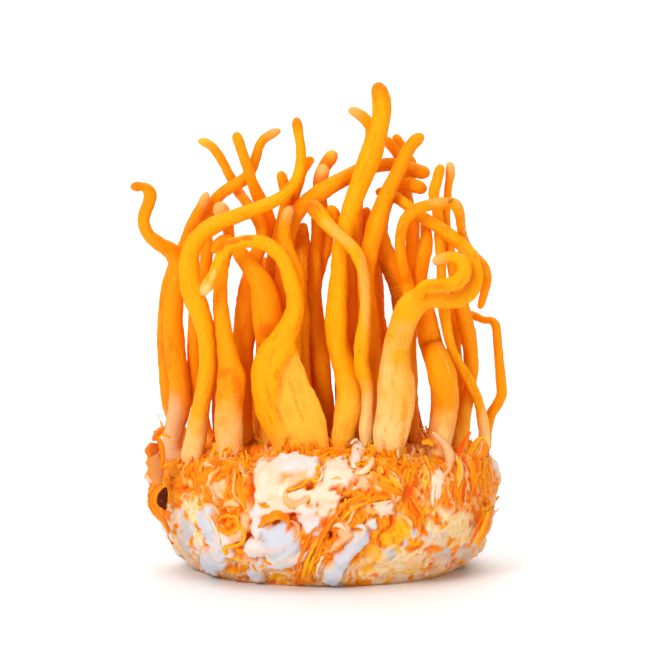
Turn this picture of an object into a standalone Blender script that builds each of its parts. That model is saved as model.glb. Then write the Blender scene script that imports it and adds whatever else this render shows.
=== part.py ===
"""A cultivated cordyceps bunch: a puck of growing medium overgrown with mycelium, and the stems that rise from it.

The puck is a lumpy round block. Each stem is a bent tapering tube, or a loft of ovals where it is broad, and
stands in a socket in the block. A stem's shape is read as it is seen from the front, in millimetres, and its
depth is given beside it. Stems that would touch are eased apart in depth only, so the front view stays.
"""

import math

import bmesh
import bpy
import numpy as np
from mathutils import Vector

# All lengths here are in millimetres. The scene is in metres.
MM = 0.001

# The bunch is seen from the front, a little from above, from this far.
LOOK_DOWN = math.radians(6.4)
VIEW_DISTANCE = 1200.0
VIEW_MIDDLE = 46.6

# The block of growing medium: its outline from the flat bottom to the middle of its top, as (radius, height).
BLOCK_OUTLINE = [
    (25.5, 0.0), (27.0, 1.2), (29.4, 3.4), (31.6, 6.8), (32.7, 11.0), (33.1, 15.5),
    (32.8, 18.8), (31.9, 21.2), (29.4, 23.0), (24.5, 24.6), (17.0, 25.6), (9.0, 26.1),
]
BLOCK_TOP = 26.3
BLOCK_SIDES = 40
# Lumps on the block: (angle from +X, height, how far it stands out, width in degrees, height of the lump).
BLOCK_LUMPS = [
    (182, 20.0, 3.2, 9, 3.2), (186, 13.5, 2.2, 8, 3.0), (214, 17.0, -1.4, 7, 4.0), (232, 9.0, 1.0, 13, 5.0),
    (250, 17.0, 1.7, 12, 4.2), (262, 14.0, -1.6, 5, 2.6), (276, 13.0, 1.5, 10, 4.6), (290, 19.5, 1.3, 6, 3.0),
    (303, 9.0, 1.4, 10, 4.4), (316, 19.0, 1.8, 8, 3.2), (333, 14.0, -1.0, 8, 4.0), (352, 17.0, 1.2, 9, 4.0),
    (12, 11.0, 1.0, 12, 5.0), (40, 18.0, 1.4, 11, 4.0), (66, 12.0, -1.0, 9, 4.0), (88, 17.0, 1.6, 12, 4.6),
    (115, 9.0, 1.2, 12, 5.0), (138, 18.0, 1.5, 10, 3.8), (160, 12.0, -1.1, 9, 4.0),
]
LUMP_WAVES = [(3, 0.30, 0.7), (5, 0.23, 2.1), (8, 0.41, 4.0)]
WAVE_SIZE = 0.45

# How far a stem stands in the block, how far its socket clears it, and the clearance between two stems.
ROOT_DEPTH = 2.5
GAP = 0.3
STEM_GAP = 0.55
SOCKET_SIDES = 8
SOCKET_RISE = 5.0

# How the stems are eased apart in depth.
EASE_STEP = 1.3
EASE_ROUNDS = 400
EASE_REACH = 4.5

# A round stem: its root (x, y), then (across, up, back, thickness) from the root to the tip.
# Across is from the middle, up from the bottom's edge as seen, and back is away from the viewer.
ROUND_STEMS = {
    "stem_left_curl": ((-28.2, -2.0), [
        (-31.0, 23.2, -2, 4.4), (-30.6, 27.6, -2, 4.2), (-29.6, 31.6, -1.5, 4.2), (-29.4, 35.6, -1, 4.3),
        (-29.8, 39.6, -1, 4.2), (-30.4, 43.6, -1, 4.0), (-30.8, 48.6, -0.5, 3.8), (-30.6, 53.6, 0, 3.6),
        (-30.0, 57.6, 0, 3.4), (-29.9, 60.8, 0.5, 3.3), (-31.0, 63.2, 0, 3.2), (-33.4, 64.8, -1, 2.7),
        (-35.4, 66.4, -1.5, 2.5), (-36.5, 68.6, -2, 2.4), (-36.4, 70.6, -2, 2.4), (-35.6, 72.8, -2.5, 2.5),
        (-35.3, 74.6, -2.8, 2.3), (-36.2, 76.0, -3.5, 2.0), (-38.0, 76.2, -4, 1.8), (-39.2, 76.0, -4, 1.1),
    ]),
    "stem_left_outer": ((-26.0, 7.0), [
        (-28.6, 25.2, 6.5, 3.2), (-31.0, 31.0, 5.5, 3.0), (-32.2, 37.6, 4.5, 2.8), (-32.6, 44.6, 4, 2.8),
        (-32.5, 50.0, 4, 2.7), (-32.0, 55.6, 4, 2.6), (-30.6, 60.0, 4.5, 2.6), (-28.6, 64.0, 4.5, 2.6),
        (-27.0, 68.2, 3, 2.5), (-25.4, 71.2, 0, 2.3), (-24.4, 73.6, -1.5, 2.0), (-24.0, 75.2, -2, 1.1),
    ]),
    "stem_left_arch": ((-26.4, -11.0), [
        (-27.0, 22.6, -11, 4.2), (-26.4, 25.6, -11, 4.2), (-25.8, 29.6, -11.5, 4.0), (-25.0, 33.6, -12, 3.7),
        (-24.2, 37.6, -12, 3.8), (-23.8, 41.6, -12, 3.7), (-24.0, 45.6, -12, 3.8), (-24.6, 48.6, -12, 4.0),
        (-25.8, 52.2, -11.5, 4.2), (-27.0, 55.6, -11, 4.0), (-27.5, 59.2, -10.5, 3.8), (-27.4, 62.4, -10, 3.7),
        (-26.4, 65.0, -10, 3.5), (-24.6, 67.1, -10, 3.3), (-22.2, 68.7, -10, 3.1), (-19.4, 69.9, -10, 2.8),
        (-16.4, 71.0, -10, 2.7), (-13.0, 72.3, -10, 2.6), (-10.0, 73.6, -9.5, 2.5), (-7.6, 75.5, -9, 2.3),
        (-6.0, 77.8, -8.5, 2.2), (-5.3, 80.6, -8, 2.1), (-5.2, 83.6, -8, 2.1), (-5.6, 86.4, -8, 2.0),
        (-6.0, 88.8, -8, 2.0), (-6.0, 90.0, -8, 1.1),
    ]),
    "stem_left_front": ((-19.2, -15.5), [
        (-19.6, 23.6, -15.3, 4.8), (-19.8, 28.6, -15, 5.2), (-19.6, 33.0, -15, 5.3), (-19.2, 38.0, -14.5, 5.0),
        (-19.6, 41.2, -14, 4.3), (-20.2, 44.6, -13.5, 3.6), (-20.8, 48.6, -13, 3.1), (-21.2, 52.6, -12.5, 2.7),
        (-21.3, 55.6, -12, 2.6), (-20.9, 59.2, -10.5, 2.4), (-20.2, 62.4, -7, 2.3), (-19.6, 65.6, -5, 2.3),
        (-19.9, 68.6, -5, 2.6), (-21.0, 71.2, -5.5, 3.2), (-22.0, 73.0, -6, 2.2),
    ]),
    "stem_left_zigzag": ((-22.6, 2.0), [
        (-24.2, 25.6, 2, 3.6), (-25.8, 33.6, 1.5, 3.2), (-26.6, 41.6, 1, 2.8), (-26.7, 47.6, 1, 2.3),
        (-26.0, 53.6, 1.5, 2.4), (-24.6, 58.6, 2, 2.4), (-24.0, 63.6, 2, 2.4), (-24.0, 68.0, 2, 2.3),
        (-23.2, 72.0, 2, 2.3), (-21.0, 74.8, 1, 2.3), (-18.6, 76.4, -1.5, 2.5), (-16.4, 77.8, -1.5, 2.4),
        (-15.0, 79.8, -1, 2.1), (-14.2, 82.0, -1, 2.0), (-13.6, 84.0, -1, 2.0), (-12.6, 85.6, -1, 2.0),
        (-11.0, 86.7, -1, 1.9), (-9.2, 87.5, -1, 1.1),
    ]),
    "stem_left_slant": ((-7.4, 4.0), [
        (-7.4, 28.4, 4, 3.6), (-7.6, 36.0, 4, 3.4), (-7.9, 44.0, 4, 3.2), (-8.4, 52.0, 3.5, 3.0),
        (-9.4, 60.0, 2.5, 2.8), (-10.6, 66.0, 1, 2.6), (-12.0, 71.0, -1, 2.4), (-13.8, 74.4, -3, 2.4),
        (-14.8, 76.8, -4, 2.2), (-15.6, 79.2, -4.5, 2.0), (-16.4, 81.6, -5, 2.0), (-17.2, 84.0, -5, 2.0),
        (-17.9, 86.0, -5, 2.1), (-18.2, 87.1, -5, 1.2),
    ]),
    "stem_left_far_tip": ((-16.8, -6.5), [
        (-17.0, 27.6, -6.5, 4.0), (-17.0, 33.6, -6, 4.0), (-16.8, 40.6, -6, 3.8), (-16.6, 46.6, -6, 4.0),
        (-16.2, 51.6, -6, 4.0), (-15.6, 56.6, -6, 3.6), (-14.6, 61.2, -6, 3.0), (-13.4, 64.6, -5.5, 2.6),
        (-13.0, 67.6, -5, 2.5), (-14.4, 70.6, -4, 2.4), (-16.0, 73.0, -2, 2.2), (-17.4, 74.8, 1, 2.1),
        (-18.6, 76.8, 2, 2.0), (-19.6, 78.8, 2, 1.9), (-20.6, 80.8, 2, 1.9), (-21.7, 82.6, 2, 1.9),
        (-23.0, 84.2, 2, 1.8), (-24.6, 85.1, 2, 1.7), (-25.8, 85.2, 2, 1.0),
    ]),
    "stem_mid_pale_tip": ((-7.2, -8.6), [
        (-7.3, 27.6, -8.6, 3.4), (-7.0, 35.6, -9, 3.2), (-6.6, 45.6, -10, 2.9), (-6.0, 53.6, -10.5, 2.8),
        (-6.2, 58.6, -10, 2.7), (-7.4, 62.2, -9.5, 2.7), (-8.3, 65.0, -9, 2.6), (-8.5, 67.6, -9, 2.5),
        (-8.1, 70.0, -8.5, 2.5), (-7.5, 71.6, -8.5, 2.1), (-7.2, 72.4, -8.5, 1.2),
    ]),
    "stem_mid_hood": ((-2.9, -7.0), [
        (-3.6, 27.6, -7, 3.0), (-4.2, 33.6, -7, 2.8), (-4.6, 39.6, -7, 2.6), (-4.8, 44.6, -6.5, 2.6),
        (-4.6, 49.6, -6.5, 2.4), (-5.0, 53.6, -6.5, 2.4), (-5.2, 57.2, -6, 2.6), (-5.4, 60.6, -5, 2.8),
        (-5.2, 64.0, -5, 2.9), (-5.0, 66.8, -5, 2.6), (-4.7, 68.6, -5, 1.5),
    ]),
    "stem_mid_ball_tip": ((-0.2, -3.4), [
        (-0.4, 27.6, -3.6, 3.3), (-0.4, 32.6, -5, 3.4), (-0.8, 37.6, -6, 3.3), (-1.4, 42.6, -6, 3.0),
        (-2.2, 46.6, -6, 2.6), (-2.8, 50.6, -6, 2.4), (-2.8, 53.6, -6, 2.4), (-2.5, 58.0, -5.5, 2.3),
        (-2.3, 63.6, -4, 2.2), (-2.0, 69.0, -3, 2.3), (-1.8, 74.4, -3, 2.4), (-1.3, 77.2, -4, 2.6),
        (-0.9, 79.2, -5, 2.8), (-0.8, 80.6, -5.5, 1.7),
    ]),
    "stem_mid_short_tip": ((0.8, 2.6), [
        (-0.0, 28.6, 2.6, 3.2), (-0.6, 36.6, 2, 3.0), (-1.0, 44.6, 1, 2.6), (-1.9, 51.6, 0, 2.2),
        (-2.1, 56.0, 0, 2.0), (-0.9, 61.2, 0, 2.0), (0.0, 64.6, 0, 2.2), (-0.2, 68.6, 0, 2.3),
        (-1.0, 72.6, 0, 2.3), (-1.6, 76.0, 0, 2.3), (-1.4, 78.4, 0, 2.4), (-0.4, 80.4, 0, 2.5),
        (0.9, 82.2, 0, 2.6), (1.6, 83.4, 0, 1.5),
    ]),
    "stem_mid_blunt_tip": ((-9.8, 10.0), [
        (-9.6, 28.6, 10, 3.4), (-9.8, 39.6, 9, 3.2), (-10.2, 51.6, 7, 3.0), (-10.6, 61.6, 5, 2.8),
        (-9.8, 65.6, 3, 2.6), (-8.6, 69.2, 1, 2.5), (-7.6, 72.4, -1, 2.4), (-6.6, 74.6, -2, 2.4),
        (-5.6, 77.2, -3, 2.2), (-4.9, 79.4, -3.5, 2.2), (-3.8, 81.1, -4, 2.1), (-2.5, 81.7, -4, 1.2),
    ]),
    "stem_mid_small_tip": ((-15.0, 6.5), [
        (-14.4, 28.0, 6.5, 3.2), (-12.9, 40.6, 4, 3.0), (-11.8, 52.6, 0.5, 2.8), (-11.0, 60.0, -1, 2.6),
        (-9.6, 66.6, -2, 2.4), (-8.6, 71.0, -3, 2.3), (-8.2, 74.4, -4, 2.2), (-8.7, 77.0, -5, 2.1),
        (-9.1, 78.4, -5, 2.0), (-9.2, 79.4, -5, 1.1),
    ]),
    "stem_long_diagonal": ((-11.6, -1.0), [
        (-11.4, 27.6, -1, 3.6), (-11.0, 35.0, -1, 3.6), (-10.2, 43.6, -3, 3.5), (-9.2, 52.0, -4.5, 3.4),
        (-8.6, 59.6, -5, 3.3), (-8.2, 63.6, -5, 3.2), (-7.8, 66.6, -5, 3.1), (-7.0, 69.2, -5, 3.1),
        (-5.6, 71.6, -5.5, 3.2), (-3.4, 73.6, -6.5, 3.3), (-1.0, 75.2, -7, 3.4), (1.6, 76.8, -6, 3.3),
        (4.2, 78.2, -4, 3.2), (7.0, 79.6, -2.5, 3.0), (9.8, 80.3, -1.5, 2.8), (12.6, 80.6, -1, 2.6),
        (15.2, 80.3, -0.5, 2.7), (17.6, 79.4, -1, 2.9), (19.4, 79.0, -1.5, 2.6), (20.6, 78.9, -1.5, 1.6),
    ]),
    "stem_tallest": ((3.0, -13.6), [
        (3.0, 24.4, -13.6, 4.4), (3.5, 27.8, -13.5, 4.6), (4.3, 31.2, -13.5, 5.1), (4.5, 35.0, -13.2, 5.2),
        (3.6, 39.4, -13, 4.4), (2.6, 42.8, -13, 4.1), (2.0, 46.6, -13, 4.1), (1.9, 50.6, -13, 4.3),
        (2.1, 54.6, -13, 3.9), (2.4, 58.6, -13, 3.4), (2.5, 63.6, -12.5, 3.1), (3.2, 66.6, -12, 3.2),
        (4.0, 69.6, -11, 3.5), (5.0, 72.6, -10, 3.8), (6.1, 75.6, -9.5, 4.0), (7.2, 78.6, -9, 4.2),
        (8.4, 81.6, -8.5, 4.2), (9.5, 84.6, -8, 4.0), (10.4, 87.6, -8, 3.6), (10.9, 90.6, -8, 3.6),
        (10.9, 93.0, -8, 3.6), (10.5, 94.8, -8, 3.4), (10.2, 96.2, -8, 2.6), (10.1, 97.0, -8, 1.3),
    ]),
    "stem_crook": ((7.7, -15.0), [
        (8.0, 24.0, -15.4, 2.4), (7.8, 27.6, -16, 2.8), (8.1, 32.0, -16, 2.4), (8.1, 36.0, -16, 2.6),
        (7.5, 38.4, -16, 3.0), (6.9, 41.0, -16.5, 3.1), (7.0, 45.0, -17, 3.1), (7.6, 50.0, -17, 2.5),
        (7.7, 55.0, -17, 2.2), (7.3, 58.4, -17, 2.3), (6.6, 61.2, -17, 2.3), (5.4, 63.6, -17, 2.3),
        (3.6, 65.4, -17, 2.3), (1.6, 67.2, -16, 2.5), (-0.2, 69.0, -15, 2.7), (-1.8, 71.0, -14, 2.8),
        (-3.0, 72.4, -13.5, 2.5), (-3.7, 73.2, -13.5, 1.5),
    ]),
    "stem_tall_right": ((8.2, -8.5), [
        (8.2, 26.6, -9, 3.2), (8.8, 34.0, -10, 3.2), (9.0, 41.2, -11, 3.0), (9.1, 44.6, -11.5, 3.0),
        (8.9, 48.0, -11.5, 3.0), (8.4, 51.6, -12, 3.0), (7.9, 55.2, -12, 3.0), (7.8, 58.6, -12, 3.2),
        (8.2, 62.0, -12, 3.4), (8.9, 65.0, -11.5, 3.6), (9.7, 68.0, -11, 3.6), (10.6, 71.0, -10, 3.5),
        (11.5, 73.6, -9, 3.3), (12.6, 76.0, -8, 3.2), (13.8, 78.4, -7, 3.0), (14.8, 80.6, -6.5, 2.8),
        (15.7, 82.6, -6, 2.6), (16.8, 84.4, -6, 2.5), (18.1, 85.7, -6, 2.4), (19.3, 86.5, -6, 1.4),
    ]),
    "stem_behind_crook": ((4.2, -7.0), [
        (4.8, 27.6, -7, 2.6), (5.2, 37.6, -7, 2.6), (5.0, 47.6, -8, 2.2), (4.9, 55.6, -9, 2.2),
        (4.7, 60.6, -9, 2.4), (3.6, 64.6, -8, 2.6), (2.4, 67.6, -8.5, 2.8), (1.4, 69.8, -9.5, 3.0),
        (0.9, 71.6, -10, 2.5), (0.8, 72.6, -10, 1.5),
    ]),
    "stem_top_prong": ((5.6, 0.5), [
        (5.8, 27.6, 0.5, 3.2), (6.0, 39.6, -1, 3.0), (6.0, 51.6, -2, 2.8), (6.0, 61.6, -2, 2.6),
        (5.8, 66.6, -1, 2.4), (5.8, 70.6, 0.5, 2.6), (6.0, 74.6, 2, 2.8), (6.6, 78.0, 2.5, 2.8),
        (7.4, 80.8, 2, 2.8), (8.2, 83.2, 0, 2.8), (8.9, 85.6, -1.5, 2.6), (8.8, 87.8, -2.5, 2.4),
        (7.6, 89.6, -3, 2.3), (6.0, 90.8, -3, 2.1), (4.2, 91.6, -3, 1.2),
    ]),
    "stem_right_hook": (None, [
        (18.9, 55.9, -22, 2.2), (20.8, 56.3, -21.5, 2.8), (23.2, 56.5, -20.5, 2.8), (25.4, 56.9, -20, 2.9),
        (27.0, 58.2, -19.5, 2.8), (27.4, 60.0, -19, 2.7), (26.6, 61.5, -18.5, 2.6), (24.8, 62.1, -18, 2.5),
        (22.8, 61.7, -17.5, 2.4), (21.0, 61.1, -17.5, 1.4),
    ]),
    "stem_right_ring": ((14.2, -9.6), [
        (14.2, 27.6, -10, 3.2), (15.0, 34.6, -10.5, 3.2), (15.8, 41.6, -11, 3.0), (16.4, 47.6, -11.5, 2.8),
        (16.6, 52.6, -12, 2.6), (16.2, 56.6, -12.5, 2.5), (15.4, 59.6, -13, 2.3), (14.8, 62.4, -13, 2.2),
        (14.6, 65.0, -13, 2.1), (14.9, 67.6, -13, 2.1), (15.8, 69.8, -13, 2.2), (17.4, 71.4, -13, 2.2),
        (19.4, 72.3, -13, 2.2), (21.6, 72.7, -12.5, 2.2), (23.8, 72.8, -11, 2.2), (25.4, 72.4, -10, 2.1),
        (26.2, 70.8, -9, 1.9), (26.6, 68.8, -8, 1.8), (27.1, 66.6, -7.5, 1.8), (28.2, 64.2, -7.5, 1.8),
        (29.7, 62.2, -8, 1.9), (31.1, 60.4, -9, 2.0), (31.8, 58.4, -9.5, 2.0), (31.7, 56.4, -10, 1.8),
        (31.2, 54.2, -10, 1.6), (30.7, 52.4, -10, 1.3), (30.6, 51.7, -10, 0.8),
    ]),
    "stem_right_broad": ((22.0, -13.4), [
        (22.5, 24.4, -13.2, 4.6), (23.2, 29.2, -13, 5.4), (23.6, 33.2, -13, 5.6), (23.2, 37.2, -13, 5.6),
        (22.2, 41.2, -13, 5.2), (20.8, 45.0, -12.5, 4.7), (20.2, 48.0, -12, 4.2), (19.9, 51.2, -11, 3.6),
        (19.2, 53.8, -10, 3.0), (18.5, 56.4, -9.5, 2.8), (18.6, 59.2, -10, 2.8), (19.2, 61.8, -10, 2.7),
        (19.7, 64.2, -9, 2.5), (19.8, 66.4, -8, 2.2), (19.6, 68.2, -6.5, 2.0), (19.6, 70.4, -5, 1.1),
    ]),
    "stem_right_thin_front": ((28.6, -5.4), [
        (31.2, 23.8, -5, 2.6), (31.5, 26.8, -5, 2.3), (31.2, 29.6, -5.5, 2.4), (30.6, 32.2, -6.5, 2.0),
        (29.8, 34.6, -8, 1.9), (28.8, 36.8, -9.5, 1.9), (27.6, 39.0, -10.5, 1.9), (26.2, 41.4, -11.5, 1.9),
        (25.0, 44.0, -12.5, 1.9), (24.2, 46.6, -12.5, 2.0), (23.6, 49.6, -12.5, 2.0), (23.2, 53.0, -12, 2.0),
        (22.9, 57.0, -10, 2.0), (22.8, 61.0, -9, 2.0), (22.6, 64.6, -8, 2.0), (22.4, 68.0, -6.5, 2.0),
        (22.0, 71.4, -6, 2.0), (21.3, 74.6, -6, 2.2), (21.9, 77.4, -6, 2.1), (22.5, 79.6, -6, 2.0),
        (22.6, 80.7, -6, 1.2),
    ]),
    "stem_right_outer": ((26.2, -7.4), [
        (26.8, 25.6, -7, 2.8), (27.4, 29.6, -6.5, 2.6), (28.0, 33.0, -5.5, 2.6), (28.6, 36.2, -5, 2.4),
        (28.9, 39.6, -5, 2.5), (28.8, 42.6, -5.5, 2.7), (28.4, 45.6, -6, 3.1), (27.6, 49.2, -7, 3.4),
        (27.0, 52.0, -8, 3.2), (26.4, 55.2, -8.5, 2.6), (25.4, 58.4, -8.5, 2.2), (25.0, 61.4, -7.5, 2.1),
        (24.4, 64.6, -5.5, 1.8), (24.0, 67.6, -4, 1.7), (23.8, 70.6, -3.5, 1.6), (24.0, 73.6, -3.5, 1.5),
        (24.2, 76.4, -4, 1.5), (24.6, 78.8, -4, 1.8), (24.5, 80.4, -4, 1.6), (24.4, 81.2, -4, 1.0),
    ]),
    "stem_right_inner": ((25.0, -1.0), [
        (25.6, 26.0, -1, 2.6), (26.2, 33.0, -1.5, 2.6), (26.4, 38.0, -2, 2.4), (25.8, 43.0, -2.5, 2.2),
        (25.2, 50.0, -3, 2.2), (25.6, 57.0, -3.5, 2.0), (26.8, 62.0, -4, 1.8), (27.4, 65.0, -4, 1.0),
    ]),
    "stem_right_angle": ((28.9, 3.0), [
        (31.6, 23.8, 2.5, 2.0), (32.0, 27.0, 0.5, 1.9), (32.8, 30.6, -1.5, 1.9), (34.0, 32.6, -2, 2.0),
        (34.9, 34.6, -2.5, 2.0), (34.8, 37.2, -2.5, 1.9), (34.5, 40.6, -2.5, 1.8), (34.0, 46.2, -2.5, 1.7),
        (33.7, 48.6, -2.5, 1.7), (32.8, 49.5, -2, 1.5), (31.4, 49.6, -1.5, 1.4), (30.0, 50.2, -1, 1.6),
        (28.6, 50.6, 0, 1.6), (27.4, 50.5, 0.5, 0.9),
    ]),
    "stem_right_blunt": ((15.8, -3.6), [
        (16.2, 27.6, -4, 4.0), (16.0, 37.6, -4, 4.2), (15.6, 47.6, -5, 4.2), (14.8, 54.0, -6, 4.2),
        (14.0, 57.4, -6, 4.2), (12.6, 60.8, -6, 4.2), (11.2, 64.0, -5.5, 3.8), (10.6, 67.0, -5, 3.2),
        (11.0, 70.2, -3, 2.8), (12.0, 73.2, -1, 2.6), (13.6, 75.6, -1, 2.6), (15.6, 76.6, -2.5, 2.7),
        (17.6, 76.3, -3.5, 2.7), (19.2, 75.7, -3.5, 2.2), (19.9, 75.4, -3.5, 1.4),
    ]),
    "stem_right_fork_left": ((10.8, -1.6), [
        (10.4, 28.0, -2, 2.8), (10.0, 38.0, -2.5, 2.8), (9.6, 48.0, -3, 2.6), (9.4, 58.0, -3, 2.5),
        (9.8, 66.0, -0.5, 2.4), (11.0, 70.0, 1.5, 2.4), (12.4, 74.0, 2.5, 2.3), (14.0, 77.4, 2.5, 2.3),
        (15.0, 80.4, 2.5, 2.3), (14.0, 82.8, 1, 2.2), (12.6, 84.6, 0, 2.1), (11.5, 86.0, -1, 1.2),
    ]),
    "stem_right_fork_right": ((14.6, 5.0), [
        (15.0, 28.0, 5, 2.8), (15.6, 38.0, 4, 2.8), (16.4, 48.0, 3, 2.7), (16.8, 56.0, 1, 2.6),
        (17.0, 62.0, -1, 2.6), (17.2, 68.6, -2, 2.5), (16.6, 71.8, -1, 2.4), (15.9, 74.8, 2, 2.4),
        (16.4, 77.6, 4, 2.4), (16.8, 80.6, 5, 2.3), (15.8, 82.2, 4.5, 2.2), (14.8, 84.2, 3.5, 2.1),
        (13.9, 85.7, 3, 2.0), (13.4, 86.6, 3, 1.2),
    ]),
    "stem_back_1": ((-20.4, 10.0), [
        (-21.2, 27.0, 10, 3.4), (-21.4, 36.0, 9, 3.2), (-21.0, 44.0, 8, 3.0), (-21.4, 52.0, 7, 2.6),
        (-21.4, 58.0, 6, 2.4), (-21.2, 62.0, 5.5, 2.0), (-21.0, 63.2, 5.5, 1.2),
    ]),
    "stem_back_2": ((-14.0, 17.0), [
        (-13.2, 28.0, 17, 3.6), (-12.4, 38.0, 16, 3.4), (-11.6, 46.0, 14.5, 3.2), (-12.0, 53.0, 13, 2.8),
        (-12.8, 58.0, 12, 2.4), (-12.5, 61.0, 11.5, 2.0), (-12.3, 62.2, 11.5, 1.2),
    ]),
    "stem_back_3": ((-5.0, 20.0), [
        (-4.8, 28.6, 20, 3.4), (-5.4, 37.0, 18.5, 3.2), (-5.8, 45.0, 16.5, 3.0), (-5.4, 54.0, 14.5, 2.7),
        (-5.8, 61.0, 12.5, 2.4), (-6.6, 66.0, 11, 2.2), (-7.2, 69.0, 10, 1.9), (-7.4, 70.2, 10, 1.1),
    ]),
    "stem_back_4": ((4.0, 18.0), [
        (3.8, 28.0, 18, 3.6), (3.4, 38.0, 16.5, 3.4), (2.6, 48.0, 14.5, 3.1), (2.8, 58.0, 12, 2.8),
        (3.6, 66.0, 10, 2.6), (5.0, 73.0, 8, 2.4), (6.2, 77.4, 7, 2.0), (6.5, 78.4, 7, 1.2),
    ]),
    "stem_back_5": ((11.4, 19.0), [
        (11.0, 28.0, 19, 3.4), (11.0, 36.0, 17.5, 3.2), (11.0, 44.0, 16, 3.0), (10.2, 52.0, 14, 2.7),
        (9.7, 60.0, 12, 2.4), (9.8, 65.0, 11, 2.0), (9.9, 66.2, 11, 1.1),
    ]),
    "stem_back_6": ((18.4, 14.6), [
        (17.6, 27.6, 15, 3.4), (16.2, 37.0, 13.5, 3.2), (16.4, 46.0, 12, 2.9), (17.4, 53.0, 10.5, 2.5),
        (16.9, 59.0, 9, 2.1), (16.8, 60.2, 9, 1.2),
    ]),
    "stem_back_7": ((23.8, 9.0), [
        (24.4, 27.0, 9.5, 3.2), (24.8, 36.0, 9, 3.0), (25.4, 44.0, 8, 2.7), (26.2, 52.0, 6.5, 2.4),
        (27.4, 58.0, 5, 2.1), (28.1, 61.4, 4, 1.8), (28.3, 62.4, 4, 1.0),
    ]),
    "stem_back_8": ((-1.6, 12.0), [
        (-2.4, 28.0, 12, 3.2), (-3.0, 38.0, 10.5, 3.0), (-3.6, 46.0, 9, 2.8), (-3.6, 54.0, 7.5, 2.6),
        (-3.8, 61.0, 6.5, 2.3), (-4.3, 65.4, 6, 1.9), (-4.5, 66.4, 6, 1.1),
    ]),
    "stem_back_9": ((8.6, 10.0), [
        (8.0, 28.0, 10, 3.2), (7.6, 38.0, 9, 3.0), (7.4, 48.0, 7.5, 2.8), (6.8, 58.0, 6.5, 2.6),
        (7.0, 66.0, 6, 2.3), (7.8, 71.0, 6, 1.9), (8.1, 72.2, 6, 1.1),
    ]),
}

# A broad stem: its root (x, y), then (across, up, back, width, depth) of each oval from the root to the tip.
BROAD_STEMS = {
    "stem_ribbon": ((-5.2, -15.5), [
        (-5.4, 24.8, -15.5, 11.0, 5.2), (-6.2, 28.0, -15.5, 11.6, 5.4), (-7.9, 31.6, -15.5, 11.6, 5.2),
        (-9.2, 35.0, -15.5, 11.2, 5.0), (-9.8, 38.0, -15.5, 10.7, 4.8), (-9.9, 40.6, -15.5, 9.4, 4.6),
        (-9.4, 43.6, -15.5, 7.2, 4.4), (-8.8, 45.6, -15.5, 5.2, 4.2), (-7.9, 47.6, -15.5, 4.2, 4.0),
        (-7.0, 49.6, -15.5, 3.8, 3.6), (-6.4, 51.8, -15.5, 3.4, 3.3), (-6.5, 54.4, -15.5, 3.1, 3.1),
        (-7.2, 57.0, -15.5, 3.0, 3.0), (-8.0, 59.6, -15.5, 2.9, 2.9), (-8.9, 61.7, -15.5, 2.8, 2.8),
        (-10.3, 63.4, -15.5, 2.8, 2.8), (-12.2, 64.8, -15.5, 2.8, 2.8), (-14.4, 65.3, -15.5, 2.7, 2.7),
        (-16.6, 65.2, -15.5, 2.6, 2.6), (-18.6, 64.8, -16, 2.5, 2.5), (-20.2, 63.6, -16, 2.4, 2.4),
        (-21.4, 61.6, -16.5, 2.4, 2.4), (-22.2, 59.6, -17, 2.4, 2.4), (-23.2, 57.6, -17, 2.3, 2.3),
        (-24.2, 56.0, -17.5, 2.2, 2.2), (-25.0, 54.5, -17.5, 1.2, 1.2),
    ]),
    "stem_left_knee": ((-11.5, -8.4), [
        (-11.4, 27.0, -8.4, 4.0, 3.8), (-11.2, 36.0, -9, 4.2, 3.8), (-11.6, 43.6, -9.5, 4.8, 4.0),
        (-12.0, 48.6, -10.5, 5.8, 4.2), (-12.2, 52.4, -10.5, 6.0, 4.0), (-13.0, 56.4, -10.5, 5.0, 3.6),
        (-14.8, 59.4, -10, 4.0, 3.2), (-16.6, 62.0, -9.5, 3.4, 2.8), (-18.4, 64.2, -9, 2.6, 2.4),
        (-19.8, 65.6, -9, 2.2, 2.2), (-21.2, 65.4, -9.5, 2.0, 2.0), (-22.2, 64.2, -10, 1.9, 1.9),
        (-22.8, 62.8, -10, 1.1, 1.1),
    ]),
    "stem_right_spiral": ((12.6, -19.0), [
        (12.5, 22.4, -19, 5.2, 4.4), (12.5, 25.4, -19, 6.2, 4.8), (13.0, 28.6, -19, 7.2, 5.0),
        (13.6, 31.8, -19, 7.7, 5.2), (13.8, 35.0, -19, 7.7, 5.2), (13.8, 38.0, -19, 6.9, 5.0),
        (13.7, 41.0, -19, 6.0, 4.8), (13.9, 44.4, -19, 5.4, 4.8), (14.7, 47.4, -19, 5.4, 4.8),
        (15.7, 50.2, -19, 5.3, 4.8), (17.0, 52.4, -18.5, 5.0, 4.6), (18.8, 53.6, -18, 4.5, 4.0),
        (20.8, 53.8, -17.5, 3.8, 3.6), (23.0, 53.5, -17, 3.2, 3.2), (25.2, 53.4, -17, 2.9, 2.9),
        (27.2, 54.0, -16.5, 2.8, 2.8), (28.7, 55.2, -16, 2.6, 2.6), (29.7, 56.8, -15.5, 2.5, 2.5),
        (29.9, 58.8, -15, 2.4, 2.4), (29.3, 61.0, -14.5, 2.5, 2.5), (28.1, 63.2, -14, 2.6, 2.6),
        (26.4, 65.1, -13, 2.6, 2.6), (24.4, 66.6, -12, 2.6, 2.6), (22.2, 68.2, -10.5, 2.5, 2.5),
        (20.0, 69.5, -9.5, 2.4, 2.4), (17.8, 70.9, -8.5, 2.3, 2.3), (15.6, 72.8, -7, 2.2, 2.2),
        (13.6, 74.1, -4.5, 2.2, 2.2), (11.4, 75.0, -3.5, 2.2, 2.2), (9.6, 75.2, -3.5, 1.2, 1.2),
    ]),
}
OVAL_SIDES = 10

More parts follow.
